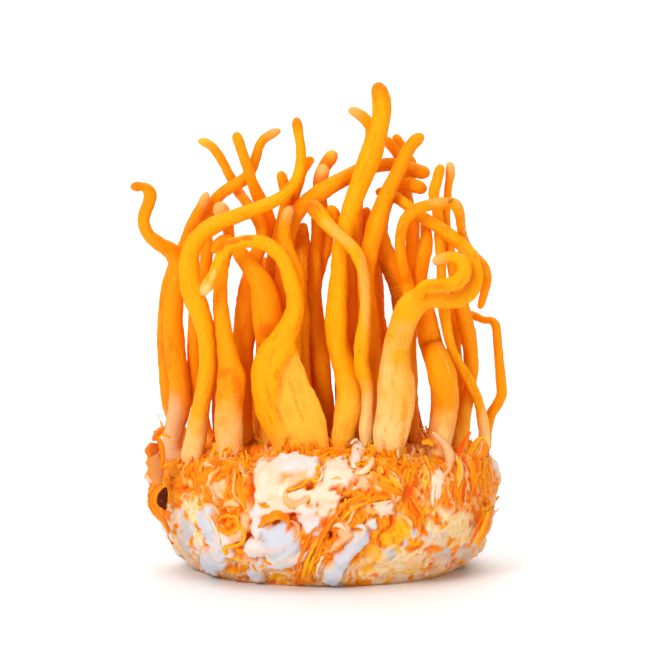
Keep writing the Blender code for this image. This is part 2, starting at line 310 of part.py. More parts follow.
# Colours, as (red, green, blue, roughness).
STEM_COLOUR = (0.95, 0.36, 0.02, 0.5)
BROAD_COLOUR = (0.98, 0.48, 0.08, 0.5)
BLOCK_COLOUR = (0.93, 0.62, 0.30, 0.85)
THICK_FROM = 4.2


def clear_scene():
    for item in list(bpy.data.objects):
        bpy.data.objects.remove(item, do_unlink=True)


def collection_of(name):
    found = bpy.data.collections.new(name)
    bpy.context.scene.collection.children.link(found)
    return found


def material_of(name, colour):
    red, green, blue, roughness = colour
    material = bpy.data.materials.new(name)
    material.use_nodes = True
    shader = material.node_tree.nodes["Principled BSDF"]
    shader.inputs["Base Color"].default_value = (red, green, blue, 1.0)
    shader.inputs["Roughness"].default_value = roughness
    shader.inputs["Metallic"].default_value = 0.0
    return material


def object_of(name, mesh, colour, collection):
    made = bpy.data.objects.new(name, mesh)
    made.data.materials.append(material_of(name, colour))
    collection.objects.link(made)
    return made


def seen_from_front(across, up, back):
    """The point that shows this far across and up in the front view and lies this far back."""
    nearer = 1.0 + back / VIEW_DISTANCE
    seen_up = VIEW_MIDDLE + (up - VIEW_MIDDLE) * nearer
    height = (seen_up - back * math.sin(LOOK_DOWN)) / math.cos(LOOK_DOWN)
    return np.array([across * nearer, back, height])


def outline_radius(height):
    """The block's plain radius at a height on its side."""
    heights = [point[1] for point in BLOCK_OUTLINE]
    radii = [point[0] for point in BLOCK_OUTLINE]
    return float(np.interp(height, heights, radii))


def top_height(x, y):
    """The block's plain height at a place on its top."""
    upper = BLOCK_OUTLINE[7:]
    radii = [0.0] + [point[0] for point in reversed(upper)]
    heights = [BLOCK_TOP] + [point[1] for point in reversed(upper)]
    return float(np.interp(math.hypot(x, y), radii, heights))


def lump(angle, height):
    """How far the block's side stands out at this angle, in degrees, and height."""
    total = 0.0
    for at, level, out, width, tall in BLOCK_LUMPS:
        aside = (angle - at + 180.0) % 360.0 - 180.0
        total += out * math.exp(-((aside / width) ** 2) - ((height - level) / tall) ** 2)
    for count, rate, start in LUMP_WAVES:
        total += WAVE_SIZE * math.sin(count * math.radians(angle) + start) * math.sin(rate * height + start)
    return total


def block_mesh():
    """The block: rings of points from the flat bottom to the top, closed by a flat fan at each end."""
    shape = bmesh.new()
    rings = []
    for level, (radius, height) in enumerate(BLOCK_OUTLINE):
        ring = []
        side = min(1.0, height / 3.0) * min(1.0, max(0.0, (25.0 - height) / 4.0))
        for step in range(BLOCK_SIDES):
            angle = 360.0 * step / BLOCK_SIDES
            out = radius + side * lump(angle, height)
            turn = math.radians(angle)
            ring.append(shape.verts.new((out * math.cos(turn) * MM, out * math.sin(turn) * MM, height * MM)))
        rings.append(ring)
    for lower, upper in zip(rings, rings[1:]):
        for step in range(BLOCK_SIDES):
            after = (step + 1) % BLOCK_SIDES
            shape.faces.new((lower[step], lower[after], upper[after], upper[step]))
    shape.faces.new(list(reversed(rings[0])))
    middle = shape.verts.new((0.0, 0.0, BLOCK_TOP * MM))
    for step in range(BLOCK_SIDES):
        shape.faces.new((rings[-1][step], rings[-1][(step + 1) % BLOCK_SIDES], middle))
    bmesh.ops.recalc_face_normals(shape, faces=shape.faces)
    mesh = bpy.data.meshes.new("mycelium_block")
    shape.to_mesh(mesh)
    shape.free()
    mesh.shade_smooth()
    mesh.set_sharp_from_angle(angle=math.radians(40))
    return mesh


def root_point(root):
    x, y = root
    return np.array([x, y, top_height(x, y) - ROOT_DEPTH])


def route_of(root, stations):
    """The stem's points from root to tip, its widths and its depths, in space."""
    points = []
    widths = []
    depths = []
    if root is not None:
        points.append(root_point(root))
        widths.append(stations[0][3] * 0.97)
        depths.append(stations[0][-1] * 0.97)
    for station in stations:
        points.append(seen_from_front(*station[:3]))
        widths.append(station[3])
        depths.append(station[-1])
    return np.array(points), np.array(widths), np.array(depths)


def samples_of(points, widths, depths):
    """Points along a route, one about every step, with their places along it and the widths and depths there."""
    lengths = np.linalg.norm(np.diff(points, axis=0), axis=1)
    along = np.concatenate([[0.0], np.cumsum(lengths)])
    count = max(3, int(along[-1] / EASE_STEP) + 1)
    at = np.linspace(0.0, along[-1], count)
    places = np.stack([np.interp(at, along, points[:, axis]) for axis in range(3)], axis=1)
    return at, places, np.interp(at, along, widths), np.interp(at, along, depths), along


def ease_apart(routes):
    """Moves the stems' points in depth only until no two stems come closer than their gap.

    A stem is a row of beads here. Where it is broader than it is deep, it is several beads side by side.
    """
    names = list(routes)
    steps, start, owner, hold = [], [], [], []
    bead_across, bead_height, bead_radius, bead_sample = [], [], [], []
    for number, name in enumerate(names):
        points, widths, depths, rooted = routes[name]
        at, places, wide, deep, _ = samples_of(points, widths, depths)
        course = np.gradient(places, axis=0)[:, [0, 2]]
        course = course / np.linalg.norm(course, axis=1)[:, None]
        for index in range(len(at)):
            spare = max(0.0, wide[index] - deep[index]) / 2.0
            for side in (-1.0, -0.5, 0.0, 0.5, 1.0) if spare > 0.3 else (0.0,):
                bead_across.append(places[index, 0] + side * spare * course[index, 1])
                bead_height.append(places[index, 2] - side * spare * course[index, 0])
                bead_radius.append(deep[index] / 2.0 if spare > 0.3 else max(wide[index], deep[index]) / 2.0)
                bead_sample.append(len(steps) + index)
        steps.extend(at)
        start.extend(places[:, 1])
        owner.extend([number] * len(at))
        hold.extend(np.clip((at - 1.5) / 6.0, 0.0, 1.0) if rooted else np.ones(len(at)))
    steps, start, owner, hold = map(np.array, (steps, start, owner, hold))
    across, height, radius = map(np.array, (bead_across, bead_height, bead_radius))
    sample = np.array(bead_sample)
    flat = (across[:, None] - across[None, :]) ** 2 + (height[:, None] - height[None, :]) ** 2
    reach = radius[:, None] + radius[None, :] + STEM_GAP
    near = (owner[sample][:, None] < owner[sample][None, :]) & (flat < reach ** 2)
    one, other = np.nonzero(near)
    need = np.sqrt(reach[one, other] ** 2 - flat[one, other])
    first = sample[one]
    second = sample[other]
    # Of two crossing stems, the one that starts nearer the viewer where they cross stays nearer.
    order = {}
    offset = start[second] - start[first]
    for index in range(len(first)):
        level = int(round(height[one[index]] / 6.0))
        order.setdefault((owner[first[index]], owner[second[index]], level), []).append(index)
    side = np.zeros(len(first))
    for indices in order.values():
        side[indices] = 1.0 if offset[indices].mean() >= 0 else -1.0
    weights = []
    for number in range(len(names)):
        own = np.nonzero(owner == number)[0]
        apart = np.abs(steps[own][:, None] - steps[own][None, :])
        weights.append((own, np.exp(-((apart / EASE_REACH) ** 2))))
    depth = start.copy()
    for _ in range(EASE_ROUNDS):
        short = need - side * (depth[second] - depth[first])
        if not (short > 0).any():
            break
        push = np.zeros_like(depth)
        pull = np.zeros_like(depth)
        ahead = (short > 0) & (side > 0)
        behind = (short > 0) & (side < 0)
        np.maximum.at(push, second[ahead], short[ahead])
        np.maximum.at(pull, first[ahead], short[ahead])
        np.maximum.at(push, first[behind], short[behind])
        np.maximum.at(pull, second[behind], short[behind])
        move = push - pull
        for own, weight in weights:
            strongest = (weight * np.abs(move[own])[None, :]).argmax(axis=1)
            best = weight[np.arange(len(own)), strongest] * move[own][strongest]
            depth[own] += 0.3 * best * hold[own]
    moved = {}
    for number, name in enumerate(names):
        points, widths, depths, rooted = routes[name]
        own = owner == number
        along = samples_of(points, widths, depths)[4]
        shift = np.interp(along, steps[own], depth[own] - start[own])
        eased = points.copy()
        eased[:, 1] += shift
        eased[:, 2] -= shift * math.tan(LOOK_DOWN)
        moved[name] = eased
    return moved


def tube(name, points, widths, collection):
    """A round stem: a curve of straight stretches with a radius at each point and flat ends."""
    curve = bpy.data.curves.new(name, "CURVE")
    curve.dimensions = "3D"
    curve.bevel_depth = 0.5 * MM
    curve.bevel_resolution = 2 if max(widths) >= THICK_FROM else 1
    curve.use_fill_caps = True
    spline = curve.splines.new("POLY")
    spline.points.add(len(points) - 1)
    for point, place, width in zip(spline.points, points, widths):
        point.co = (place[0] * MM, place[1] * MM, place[2] * MM, 1.0)
        point.radius = width
    curve.materials.append(material_of(name, STEM_COLOUR))
    made = bpy.data.objects.new(name, curve)
    collection.objects.link(made)
    return made


def oval_loft(name, points, widths, depths, collection):
    """A broad stem: ovals across its route, wide as seen from the front, joined ring to ring."""
    shape = bmesh.new()
    rings = []
    ahead = Vector((0.0, 1.0, 0.0))
    for number, place in enumerate(points):
        before = points[max(0, number - 1)]
        after = points[min(len(points) - 1, number + 1)]
        along = Vector(after - before).normalized()
        wide = ahead.cross(along).normalized()
        deep = along.cross(wide).normalized()
        ring = []
        for step in range(OVAL_SIDES):
            turn = 2.0 * math.pi * step / OVAL_SIDES
            out = wide * (math.cos(turn) * widths[number] / 2.0)
            out = out + deep * (math.sin(turn) * depths[number] / 2.0)
            ring.append(shape.verts.new((Vector(place) + out) * MM))
        rings.append(ring)
    for lower, upper in zip(rings, rings[1:]):
        for step in range(OVAL_SIDES):
            after = (step + 1) % OVAL_SIDES
            shape.faces.new((lower[step], lower[after], upper[after], upper[step]))
    shape.faces.new(list(reversed(rings[0])))
    shape.faces.new(rings[-1])
    bmesh.ops.recalc_face_normals(shape, faces=shape.faces)
    mesh = bpy.data.meshes.new(name)
    shape.to_mesh(mesh)
    shape.free()
    mesh.shade_smooth()
    mesh.set_sharp_from_angle(angle=math.radians(60))
    return object_of(name, mesh, BROAD_COLOUR, collection)


def socket(name, points, width, depth, collection):
    """The cutter of a stem's socket: a straight round or oval hole along the stem's first stretch."""
    along = Vector(points[1] - points[0])
    direction = along.normalized()
    length = along.length + SOCKET_RISE
    shape = bmesh.new()
    bmesh.ops.create_cone(
        shape, cap_ends=True, segments=SOCKET_SIDES, radius1=1.0, radius2=1.0, depth=length + GAP
    )
    wide = Vector((0.0, 1.0, 0.0)).cross(direction).normalized()
    deep = direction.cross(wide).normalized()
    clear = 1.0 / math.cos(math.pi / SOCKET_SIDES)
    for vert in shape.verts:
        rise = vert.co.z + (length + GAP) / 2.0 - GAP
        out = wide * (vert.co.x * (width / 2.0 + GAP) * clear)
        out = out + deep * (vert.co.y * (depth / 2.0 + GAP) * clear)
        vert.co = (Vector(points[0]) + direction * rise + out) * MM
    bmesh.ops.recalc_face_normals(shape, faces=shape.faces)
    mesh = bpy.data.meshes.new(name)
    shape.to_mesh(mesh)
    shape.free()
    made = bpy.data.objects.new(name, mesh)
    made.hide_render = True
    made.display_type = "WIRE"
    collection.objects.link(made)
    return made


def build():
    clear_scene()
    bunch = collection_of("cordyceps_bunch")
    cutters = collection_of("cutters")
    routes = {}
    for name, (root, stations) in {**ROUND_STEMS, **BROAD_STEMS}.items():
        points, widths, depths = route_of(root, stations)
        routes[name] = (points, widths, depths, root is not None)
    eased = ease_apart(routes)
    for name, (points, widths, depths, rooted) in routes.items():
        if name in BROAD_STEMS:
            oval_loft(name, eased[name], widths, depths, bunch)
        else:
            tube(name, eased[name], widths, bunch)
        if rooted:
            socket("socket_" + name, eased[name], max(widths[:2]), max(depths[:2]), cutters)
    block = object_of("mycelium_block", block_mesh(), BLOCK_COLOUR, bunch)
    cut = block.modifiers.new("sockets", "BOOLEAN")
    cut.operation = "DIFFERENCE"
    cut.solver = "EXACT"
    cut.operand_type = "COLLECTION"
    cut.collection = cutters


build()
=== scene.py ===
import math

import bpy
import numpy as np
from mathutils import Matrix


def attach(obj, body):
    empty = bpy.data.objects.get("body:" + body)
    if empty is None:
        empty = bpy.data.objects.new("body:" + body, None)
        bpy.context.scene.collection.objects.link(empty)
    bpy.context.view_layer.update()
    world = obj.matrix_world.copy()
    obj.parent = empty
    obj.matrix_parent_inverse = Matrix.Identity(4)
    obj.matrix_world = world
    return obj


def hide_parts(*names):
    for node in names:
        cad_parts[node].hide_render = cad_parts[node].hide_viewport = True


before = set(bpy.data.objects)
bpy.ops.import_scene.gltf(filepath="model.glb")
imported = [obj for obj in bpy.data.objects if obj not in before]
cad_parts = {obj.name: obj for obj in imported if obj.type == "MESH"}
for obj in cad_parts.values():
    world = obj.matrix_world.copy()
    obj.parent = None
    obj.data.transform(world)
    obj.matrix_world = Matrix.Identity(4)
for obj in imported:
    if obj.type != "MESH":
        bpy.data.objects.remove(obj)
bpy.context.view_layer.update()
MM = 0.001

# The stems: firm waxy fungus flesh that grew out of the block and bent as it grew. Each is one body that
# follows the course and girth of its solid, with the swellings, flutes and pinched bends of a grown thing.


def rings_of(node, low):
    """The solid's rings of corners, from the end that lies furthest back along low, as (centre, corners)."""
    mesh = node.data
    corners = np.empty(len(mesh.vertices) * 3)
    mesh.vertices.foreach_get("co", corners)
    corners = corners.reshape(-1, 3)
    _, first, index = np.unique(
        np.round(corners / 2e-6).astype(np.int64), axis=0, return_index=True, return_inverse=True
    )
    points = corners[first]
    mesh.calc_loop_triangles()
    faces = np.empty(len(mesh.loop_triangles) * 3, np.int32)
    mesh.loop_triangles.foreach_get("vertices", faces)
    faces = index.reshape(-1)[faces.reshape(-1, 3)]
    edges = np.concatenate([faces[:, [0, 1]], faces[:, [1, 2]], faces[:, [2, 0]]])
    normals = np.cross(points[faces[:, 1]] - points[faces[:, 0]], points[faces[:, 2]] - points[faces[:, 0]])
    normals /= np.linalg.norm(normals, axis=1)[:, None] + 1e-20
    lowest = int(np.argmin(points[faces].mean(axis=1) @ np.array(low)))
    flat = normals @ normals[lowest] > 0.9995
    cap = set(faces[lowest])
    for _ in range(8):
        for face in np.nonzero(flat)[0]:
            if len(cap & set(faces[face])) >= 2:
                cap |= set(faces[face])
    beside = [set() for _ in points]
    for one, other in edges:
        beside[one].add(int(other))
        beside[other].add(int(one))
    rings = [cap]
    seen = set(cap)
    while rings[-1]:
        following = set()
        for corner in rings[-1]:
            following |= beside[corner]
        following -= seen
        seen |= following
        rings.append(following)
    found = []
    for ring in rings:
        if len(ring) >= 4:
            around = points[sorted(ring)]
            found.append((around.mean(axis=0), around))
    return found


def smooth_line(stations, step):
    """Rows of numbers eased along a smooth curve through the stations, about one row per step of length."""
    stations = np.array(stations)
    gaps = np.linalg.norm(np.diff(stations[:, :3], axis=0), axis=1)
    at = np.concatenate([[0.0], np.cumsum(np.sqrt(gaps))])
    slope = np.empty_like(stations)
    slope[1:-1] = (stations[2:] - stations[:-2]) / (at[2:] - at[:-2])[:, None]
    slope[0] = (stations[1] - stations[0]) / (at[1] - at[0])
    slope[-1] = (stations[-1] - stations[-2]) / (at[-1] - at[-2])
    rows = []
    for number, gap in enumerate(gaps):
        count = max(2, int(round(gap / step)))
        part = (np.arange(count) / count)[:, None]
        span = at[number + 1] - at[number]
        rows.append(
            stations[number] * (2 * part ** 3 - 3 * part ** 2 + 1)
            + slope[number] * span * (part ** 3 - 2 * part ** 2 + part)
            + stations[number + 1] * (3 * part ** 2 - 2 * part ** 3)
            + slope[number + 1] * span * (part ** 3 - part ** 2)
        )
    rows.append(stations[-1:])
    return np.concatenate(rows)


def waves(values, seed, length, count=4):
    """A smooth random line of about unit size along values, with swells about this long."""
    source = np.random.default_rng(seed)
    total = np.zeros_like(values)
    for _ in range(count):
        pace = 2 * math.pi / (length * source.uniform(0.7, 1.8))
        total = total + np.sin(values * pace + source.uniform(0, 2 * math.pi))
    return total / math.sqrt(count)


def ease(value, low, high):
    part = np.clip((value - low) / (high - low), 0.0, 1.0)
    return part * part * (3 - 2 * part)


# The front view looks down a little at the middle of the bunch, from this far off in millimetres.
SIGHT = 1200.0
LOOK_DOWN = math.radians(6.4)
MIDDLE = 46.6


def front_view(points):
    """Where points, in millimetres, show in the front view: across and up."""
    nearer = 1.0 + points[:, 1] / SIGHT
    seen = points[:, 2] * math.cos(LOOK_DOWN) + points[:, 1] * math.sin(LOOK_DOWN)
    return points[:, 0] / nearer, MIDDLE + (seen - MIDDLE) / nearer


def tilted(across, up, oval):
    """How far places are from the middle of (across, up, half width, half height, tilt). Its edge is at 1."""
    a, u, wide, tall, tilt = oval
    turn = math.radians(tilt)
    aside = (across - a) * math.cos(turn) + (up - u) * math.sin(turn)
    above = -(across - a) * math.sin(turn) + (up - u) * math.cos(turn)
    return np.sqrt((aside / wide) ** 2 + (above / tall) ** 2)


def tube_faces(rows, sides, first=0, inward=False):
    """The faces of a tube of so many rows of corners, with one face over each end."""
    grid = first + np.arange(rows * sides).reshape(rows, sides)
    after = np.roll(grid, -1, axis=1)
    corners = [grid[:-1], after[:-1], after[1:], grid[1:]]
    ends = [grid[0, ::-1], grid[-1]]
    if inward:
        corners[1:] = corners[:0:-1]
        ends = [grid[0], grid[-1, ::-1]]
    return np.stack(corners, axis=-1).reshape(-1, 4).tolist() + [end.tolist() for end in ends]


def note(mesh, name, kind, values):
    """Keeps values, one row for each corner, on the mesh for its material."""
    layer = mesh.attributes.new(name, "FLOAT_" + kind, "POINT")
    layer.data.foreach_set(kind.lower(), values.reshape(-1))


def placed(name, data):
    """An object of this data, put into the scene."""
    made = bpy.data.objects.new(name, data)
    bpy.context.scene.collection.objects.link(made)
    return made


FORK_FLARE = 1.7


def stem_mesh(kind, rings, sides, swell, flute, seed, broad, foot=None):
    """A fine body over the solid's rings. Its corners keep where they are on it, and their marks."""
    stations = []
    for number, (centre, around) in enumerate(rings):
        before = rings[max(0, number - 1)][0]
        after = rings[min(len(rings) - 1, number + 1)][0]
        course = (after - before) / np.linalg.norm(after - before)
        wide = np.cross((0.0, 1.0, 0.0), course)
        wide /= np.linalg.norm(wide)
        deep = np.cross(course, wide)
        if broad:
            size = (np.abs((around - centre) @ wide).max(), np.abs((around - centre) @ deep).max())
        else:
            size = (np.linalg.norm(around - centre, axis=1).mean(),) * 2
        stations.append((*centre, *size))
    # The foot goes on into what the stem grew from, and flares where it forks off another stem. The rows
    # close up towards the round tip.
    girth = [FORK_FLARE * size for size in stations[0][3:]]
    if foot is None:
        girth = stations[0][3:]
        start, onward = np.array(stations[0])[:3], np.array(stations[1])[:3]
        foot = start - (onward - start) / np.linalg.norm(onward - start) * 2 * MM
    line = smooth_line([(*foot, *girth), *stations], 0.42 * MM)
    run = np.concatenate([[0.0], np.cumsum(np.linalg.norm(np.diff(line[:, :3], axis=0), axis=1))])
    closing = run[-1] - 1.2 * MM * np.cos(np.linspace(0.0, math.pi / 2, 9))
    at = np.concatenate([run[run < run[-1] - 1.4 * MM], closing])
    line = np.stack([np.interp(at, run, column) for column in line.T], axis=1)
    centres, sizes = line[:, :3], line[:, 3:5].copy()
    gaps = np.linalg.norm(np.diff(centres, axis=0), axis=1)
    along = np.concatenate([[0.0], np.cumsum(gaps)])
    length = along[-1]
    course = np.gradient(centres, axis=0)
    course /= np.linalg.norm(course, axis=1)[:, None]
    # The frame is carried along the curve, and turns back towards the viewer's side where it can.
    wide = np.zeros_like(course)
    carried = np.cross((0.0, 1.0, 0.0), course[0])
    for number, heading in enumerate(course):
        carried = carried - heading * (carried @ heading)
        facing = np.cross((0.0, 1.0, 0.0), heading)
        carried = carried / np.linalg.norm(carried) + (0.25 if not broad else 4.0) * facing
        carried /= np.linalg.norm(carried)
        wide[number] = carried
    deep = np.cross(course, wide)
    deep /= np.linalg.norm(deep, axis=1)[:, None]
    steps = along / MM
    tip = (length - along) / MM
    swelling = 1.0 + swell * waves(steps, seed, 11.0) + 0.45 * swell * waves(steps, seed + 1, 4.0)
    swelling = 1.03 + (swelling - 1.0) * np.clip(tip / 4.0, 0.2, 1.0)
    sizes *= swelling[:, None]
    across, up = front_view(centres / MM)
    for a, u, reach, gain in STEM_KNOBS.get(kind, ()):
        sizes *= 1.0 + gain * np.exp(-((across - a) ** 2 + (up - u) ** 2) / reach ** 2)[:, None]
    # The tip is round: over the last stretch the girth follows a half circle.
    blunt = np.clip(np.interp(length - 0.9 * MM, along, sizes[:, 0]) / MM, 0.55, 1.6)
    cap = np.sqrt(np.clip(1.0 - np.clip(1.0 - tip / blunt, 0.0, 1.0) ** 2, 0.0, 1.0))
    whole = np.interp(length - blunt * MM, along, sizes[:, 0])
    near = tip < blunt
    sizes[near] = np.maximum(sizes[near], 0.86 * whole) * cap[near][:, None] + 1e-6
    turn = 2 * math.pi * np.arange(sides) / sides
    twist = 0.05 * steps[:, None] + 0.5 * waves(steps, seed + 2, 18.0)[:, None]
    lobes = flute * np.cos(2 * (turn + twist) + seed) + 0.5 * flute * np.cos(3 * (turn - twist) + 2 * seed)
    lobes = lobes * np.clip(tip / 6.0, 0.1, 1.0)[:, None]
    fine = 0.020 * np.cos(7 * turn + 3 * waves(steps, seed + 3, 9.0)[:, None])
    fine = fine + 0.030 * waves(steps[:, None] + 3 * np.cos(turn), seed + 4, 2.2)
    radius = 1.0 + lobes + fine * MM / np.maximum(sizes[:, 0:1], 0.5 * MM) * np.clip(tip, 0.0, 1.0)[:, None]
    aside = np.cos(turn) * radius
    outward = np.sin(turn) * radius
    pale_face = np.zeros_like(radius)
    if kind == "ribbon":
        # The band is folded: its left face stands proud of its right face along a slanting edge.
        level = centres[:, 2:3] / MM
        edge = np.interp(level, [27.0, 35.3, 39.3, 43.3, 46.5, 49.0], [-0.5, -0.25, 0.07, 0.30, 0.85, 1.3])
        strength = np.interp(level, [27.0, 33.0, 44.0, 50.0], [0.0, 1.0, 1.0, 0.0])
        right = 1.0 / (1.0 + np.exp(-(np.cos(turn) - edge) / 0.035))
        proud = 0.30 * np.clip(1.0 - (edge - np.cos(turn)) / 1.3, 0.0, 1.0) * (1 - right)
        fold = 1.0 + strength * (proud - 0.42 * right)
        outward = np.where(np.sin(turn) < 0, outward * fold, outward)
        pale_face = strength * right * (np.sin(turn) < 0)
    body = (
        centres[:, None, :]
        + wide[:, None, :] * (sizes[:, 0:1] * aside)[:, :, None]
        + deep[:, None, :] * (sizes[:, 1:2] * outward)[:, :, None]
    )
    # Marks on the side that faces the viewer, painted shade among them: a tone and how strong it is at each
    # corner.
    mark = np.zeros((len(line) * sides, 4))
    points = body.reshape(-1, 3) / MM
    across, up = front_view(points)
    facing = ease((centres[:, None, 1] - body[:, :, 1]).reshape(-1) / MM, -0.2, 0.4)
    for *oval, strength, shade in STEM_MARKS.get(kind, ()):
        part = strength * facing * ease(1.3 - tilted(across, up, oval), 0.0, 0.6)
        keep = part > mark[:, 3]
        mark[keep, :3] = np.array(shade)[:3]
        mark[keep, 3] = part[keep]
    mesh = bpy.data.meshes.new("flesh_" + kind)
    mesh.from_pydata(body.reshape(-1, 3).tolist(), [], tube_faces(len(line), sides))
    mesh.shade_smooth()
    level = np.tile(steps[:, None], sides)
    girths = sizes[:, 0:1] / MM
    note(mesh, "course", "VECTOR", np.stack([np.cos(turn) * girths, np.sin(turn) * girths, level], axis=-1))
    note(mesh, "place", "VECTOR", np.stack([pale_face, level - 4.5, np.tile(tip[:, None], sides)], axis=-1))
    note(mesh, "mark", "COLOR", mark)
    return mesh


class Nodes:
    """Short calls for building a material."""

    def __init__(self, name):
        self.material = bpy.data.materials.new(name)
        self.material.use_nodes = True
        self.tree = self.material.node_tree
        self.shader = self.tree.nodes["Principled BSDF"]

    def add(self, kind, **given):
        node = self.tree.nodes.new(kind)
        for key, value in given.items():
            if hasattr(node, key):
                setattr(node, key, value)
            else:
                self.put(node.inputs[key.replace("_", " ")], value)
        return node

    def put(self, socket, value):
        if isinstance(value, bpy.types.NodeSocket):
            self.tree.links.new(value, socket)
        else:
            socket.default_value = value

    def math(self, operation, *values, clamp=False):
        node = self.tree.nodes.new("ShaderNodeMath")
        node.operation = operation
        node.use_clamp = clamp
        for socket, value in zip(node.inputs, values):
            self.put(socket, value)
        return node.outputs[0]

    def times(self, one, other):
        return self.math("MULTIPLY", one, other)

    def mix(self, part, one, other):
        node = self.tree.nodes.new("ShaderNodeMix")
        node.data_type = "RGBA"
        self.put(node.inputs["Factor"], part)
        self.put(node.inputs["A"], one)
        self.put(node.inputs["B"], other)
        return node.outputs["Result"]

    def spread(self, value, low, high, to_low=0.0, to_high=1.0):
        node = self.add("ShaderNodeMapRange")
        node.interpolation_type = "SMOOTHSTEP"
        sockets = ("Value", "From Min", "From Max", "To Min", "To Max")
        for key, given in zip(sockets, (value, low, high, to_low, to_high)):
            self.put(node.inputs[key], given)
        return node.outputs["Result"]

    def noise(self, vector, scale, detail=2.0, rough=0.5):
        node = self.add("ShaderNodeTexNoise", Vector=vector, Scale=scale, Detail=detail, Roughness=rough)
        return node.outputs["Fac"]

    def finish(self, base, rough, gloss, depth, height, strength):
        """Sets the shader: its colour, how rough and glossy it is, how light sinks in, and fine relief."""
        bump = self.add("ShaderNodeBump", Strength=strength, Distance=0.00022, Height=height)
        weight, radius, scale = depth
        for socket, value in (
            ("Base Color", base), ("Roughness", rough), ("Specular IOR Level", gloss),
            ("Subsurface Weight", weight), ("Subsurface Radius", radius), ("Subsurface Scale", scale),
            ("Normal", bump.outputs[0]),
        ):
            self.put(self.shader.inputs[socket], value)
        return self.material


def colour(red, green, blue):
    """A colour given as it looks on screen, 0 to 255, made linear."""
    line = [((c / 255 + 0.055) / 1.055) ** 2.4 if c > 10 else c / 3294.6 for c in (red, green, blue)]
    return (*line, 1.0)


def stem_material(name, pale, reach, flesh, tip, seed):
    """Waxy flesh: a paler foot for a reach of millimetres, lengthwise streaks, scuffs, and the tip's tone."""
    made = Nodes(name)
    flow = made.add("ShaderNodeAttribute", attribute_name="course").outputs["Vector"]
    place = made.add("ShaderNodeAttribute", attribute_name="place").outputs["Vector"]
    parts = made.add("ShaderNodeSeparateXYZ", Vector=place)
    shifted = made.add("ShaderNodeVectorMath", operation="ADD")
    made.put(shifted.inputs[0], flow)
    made.put(shifted.inputs[1], (seed * 7.3, seed * 3.1, seed * 11.7))
    streaked = made.add("ShaderNodeMapping", Vector=shifted.outputs[0], Scale=(1.0, 1.0, 0.14))
    streaks = made.noise(streaked.outputs[0], 1.3, 3.0, 0.6)
    patches = made.noise(shifted.outputs[0], 0.16, 2.0)
    grain = made.noise(shifted.outputs[0], 3.2, 3.0, 0.7)
    wander = made.times(made.math("SUBTRACT", patches, 0.5), reach * 1.3)
    height = made.math("ADD", parts.outputs[1], wander)
    footing = made.spread(height, -1.0, reach, 1.0, 0.0)
    footing = made.math("ADD", footing, made.times(made.math("SUBTRACT", streaks, 0.5), 0.6), clamp=True)
    footing = made.times(footing, made.spread(parts.outputs[1], reach * 0.9, reach * 1.6, 1.0, 0.0))
    base = made.mix(footing, flesh, pale)
    base = made.mix(made.times(parts.outputs[0], 0.75), base, PALE)
    base = made.mix(made.times(made.spread(streaks, 0.48, 0.70), 0.40), base, DEEP)
    base = made.mix(made.times(made.spread(grain, 0.55, 0.75), 0.30), base, DEEP)
    base = made.mix(made.times(made.spread(grain, 0.45, 0.28), 0.22), base, PALE)
    scuffed = made.add("ShaderNodeMapping", Vector=shifted.outputs[0], Scale=(0.55, 0.55, 0.13))
    scuffs = made.spread(made.noise(scuffed.outputs[0], 1.0, 2.0), 0.60, 0.68)
    scuffs = made.times(scuffs, made.spread(grain, 0.42, 0.58))
    base = made.mix(made.times(scuffs, 0.55), base, SCUFF)
    tipping = made.spread(parts.outputs[2], 0.3, 4.5, 1.0, 0.0)
    base = made.mix(made.times(tipping, 0.7), base, tip)
    # The marks go over the flesh. Painted shade and a painted highlight are among them.
    mark = made.add("ShaderNodeAttribute", attribute_name="mark")
    broken = made.times(made.spread(grain, 0.36, 0.56), mark.outputs["Alpha"])
    solid = made.times(made.math("SUBTRACT", mark.outputs["Alpha"], 0.5), 2.0)
    broken = made.math("MAXIMUM", broken, solid, clamp=True)
    base = made.mix(broken, base, mark.outputs["Color"])
    pebbles = made.add("ShaderNodeTexVoronoi", feature="SMOOTH_F1", Vector=shifted.outputs[0], Scale=1.5)
    made.put(pebbles.inputs["Smoothness"], 0.6)
    pebbled = made.times(pebbles.outputs["Distance"], made.spread(patches, 0.42, 0.60, 0.0, -1.6))
    relief = made.math("ADD", made.math("ADD", grain, made.times(streaks, 1.1)), pebbled)
    rough = made.spread(streaks, 0.2, 0.8, 0.45, 0.62)
    return made.finish(base, rough, 0.09, (0.3, (1.0, 0.3, 0.05), 0.0012), relief, 0.45)


ORANGE = colour(255, 153, 0)
BRIGHT = colour(255, 167, 2)
DEEP = colour(252, 134, 0)
SCUFF = colour(236, 92, 0)
RUST = colour(250, 118, 0)
CREAM = colour(250, 208, 134)
PALE = colour(255, 192, 66)
BUFF = colour(248, 186, 110)
SAND = colour(228, 186, 136)
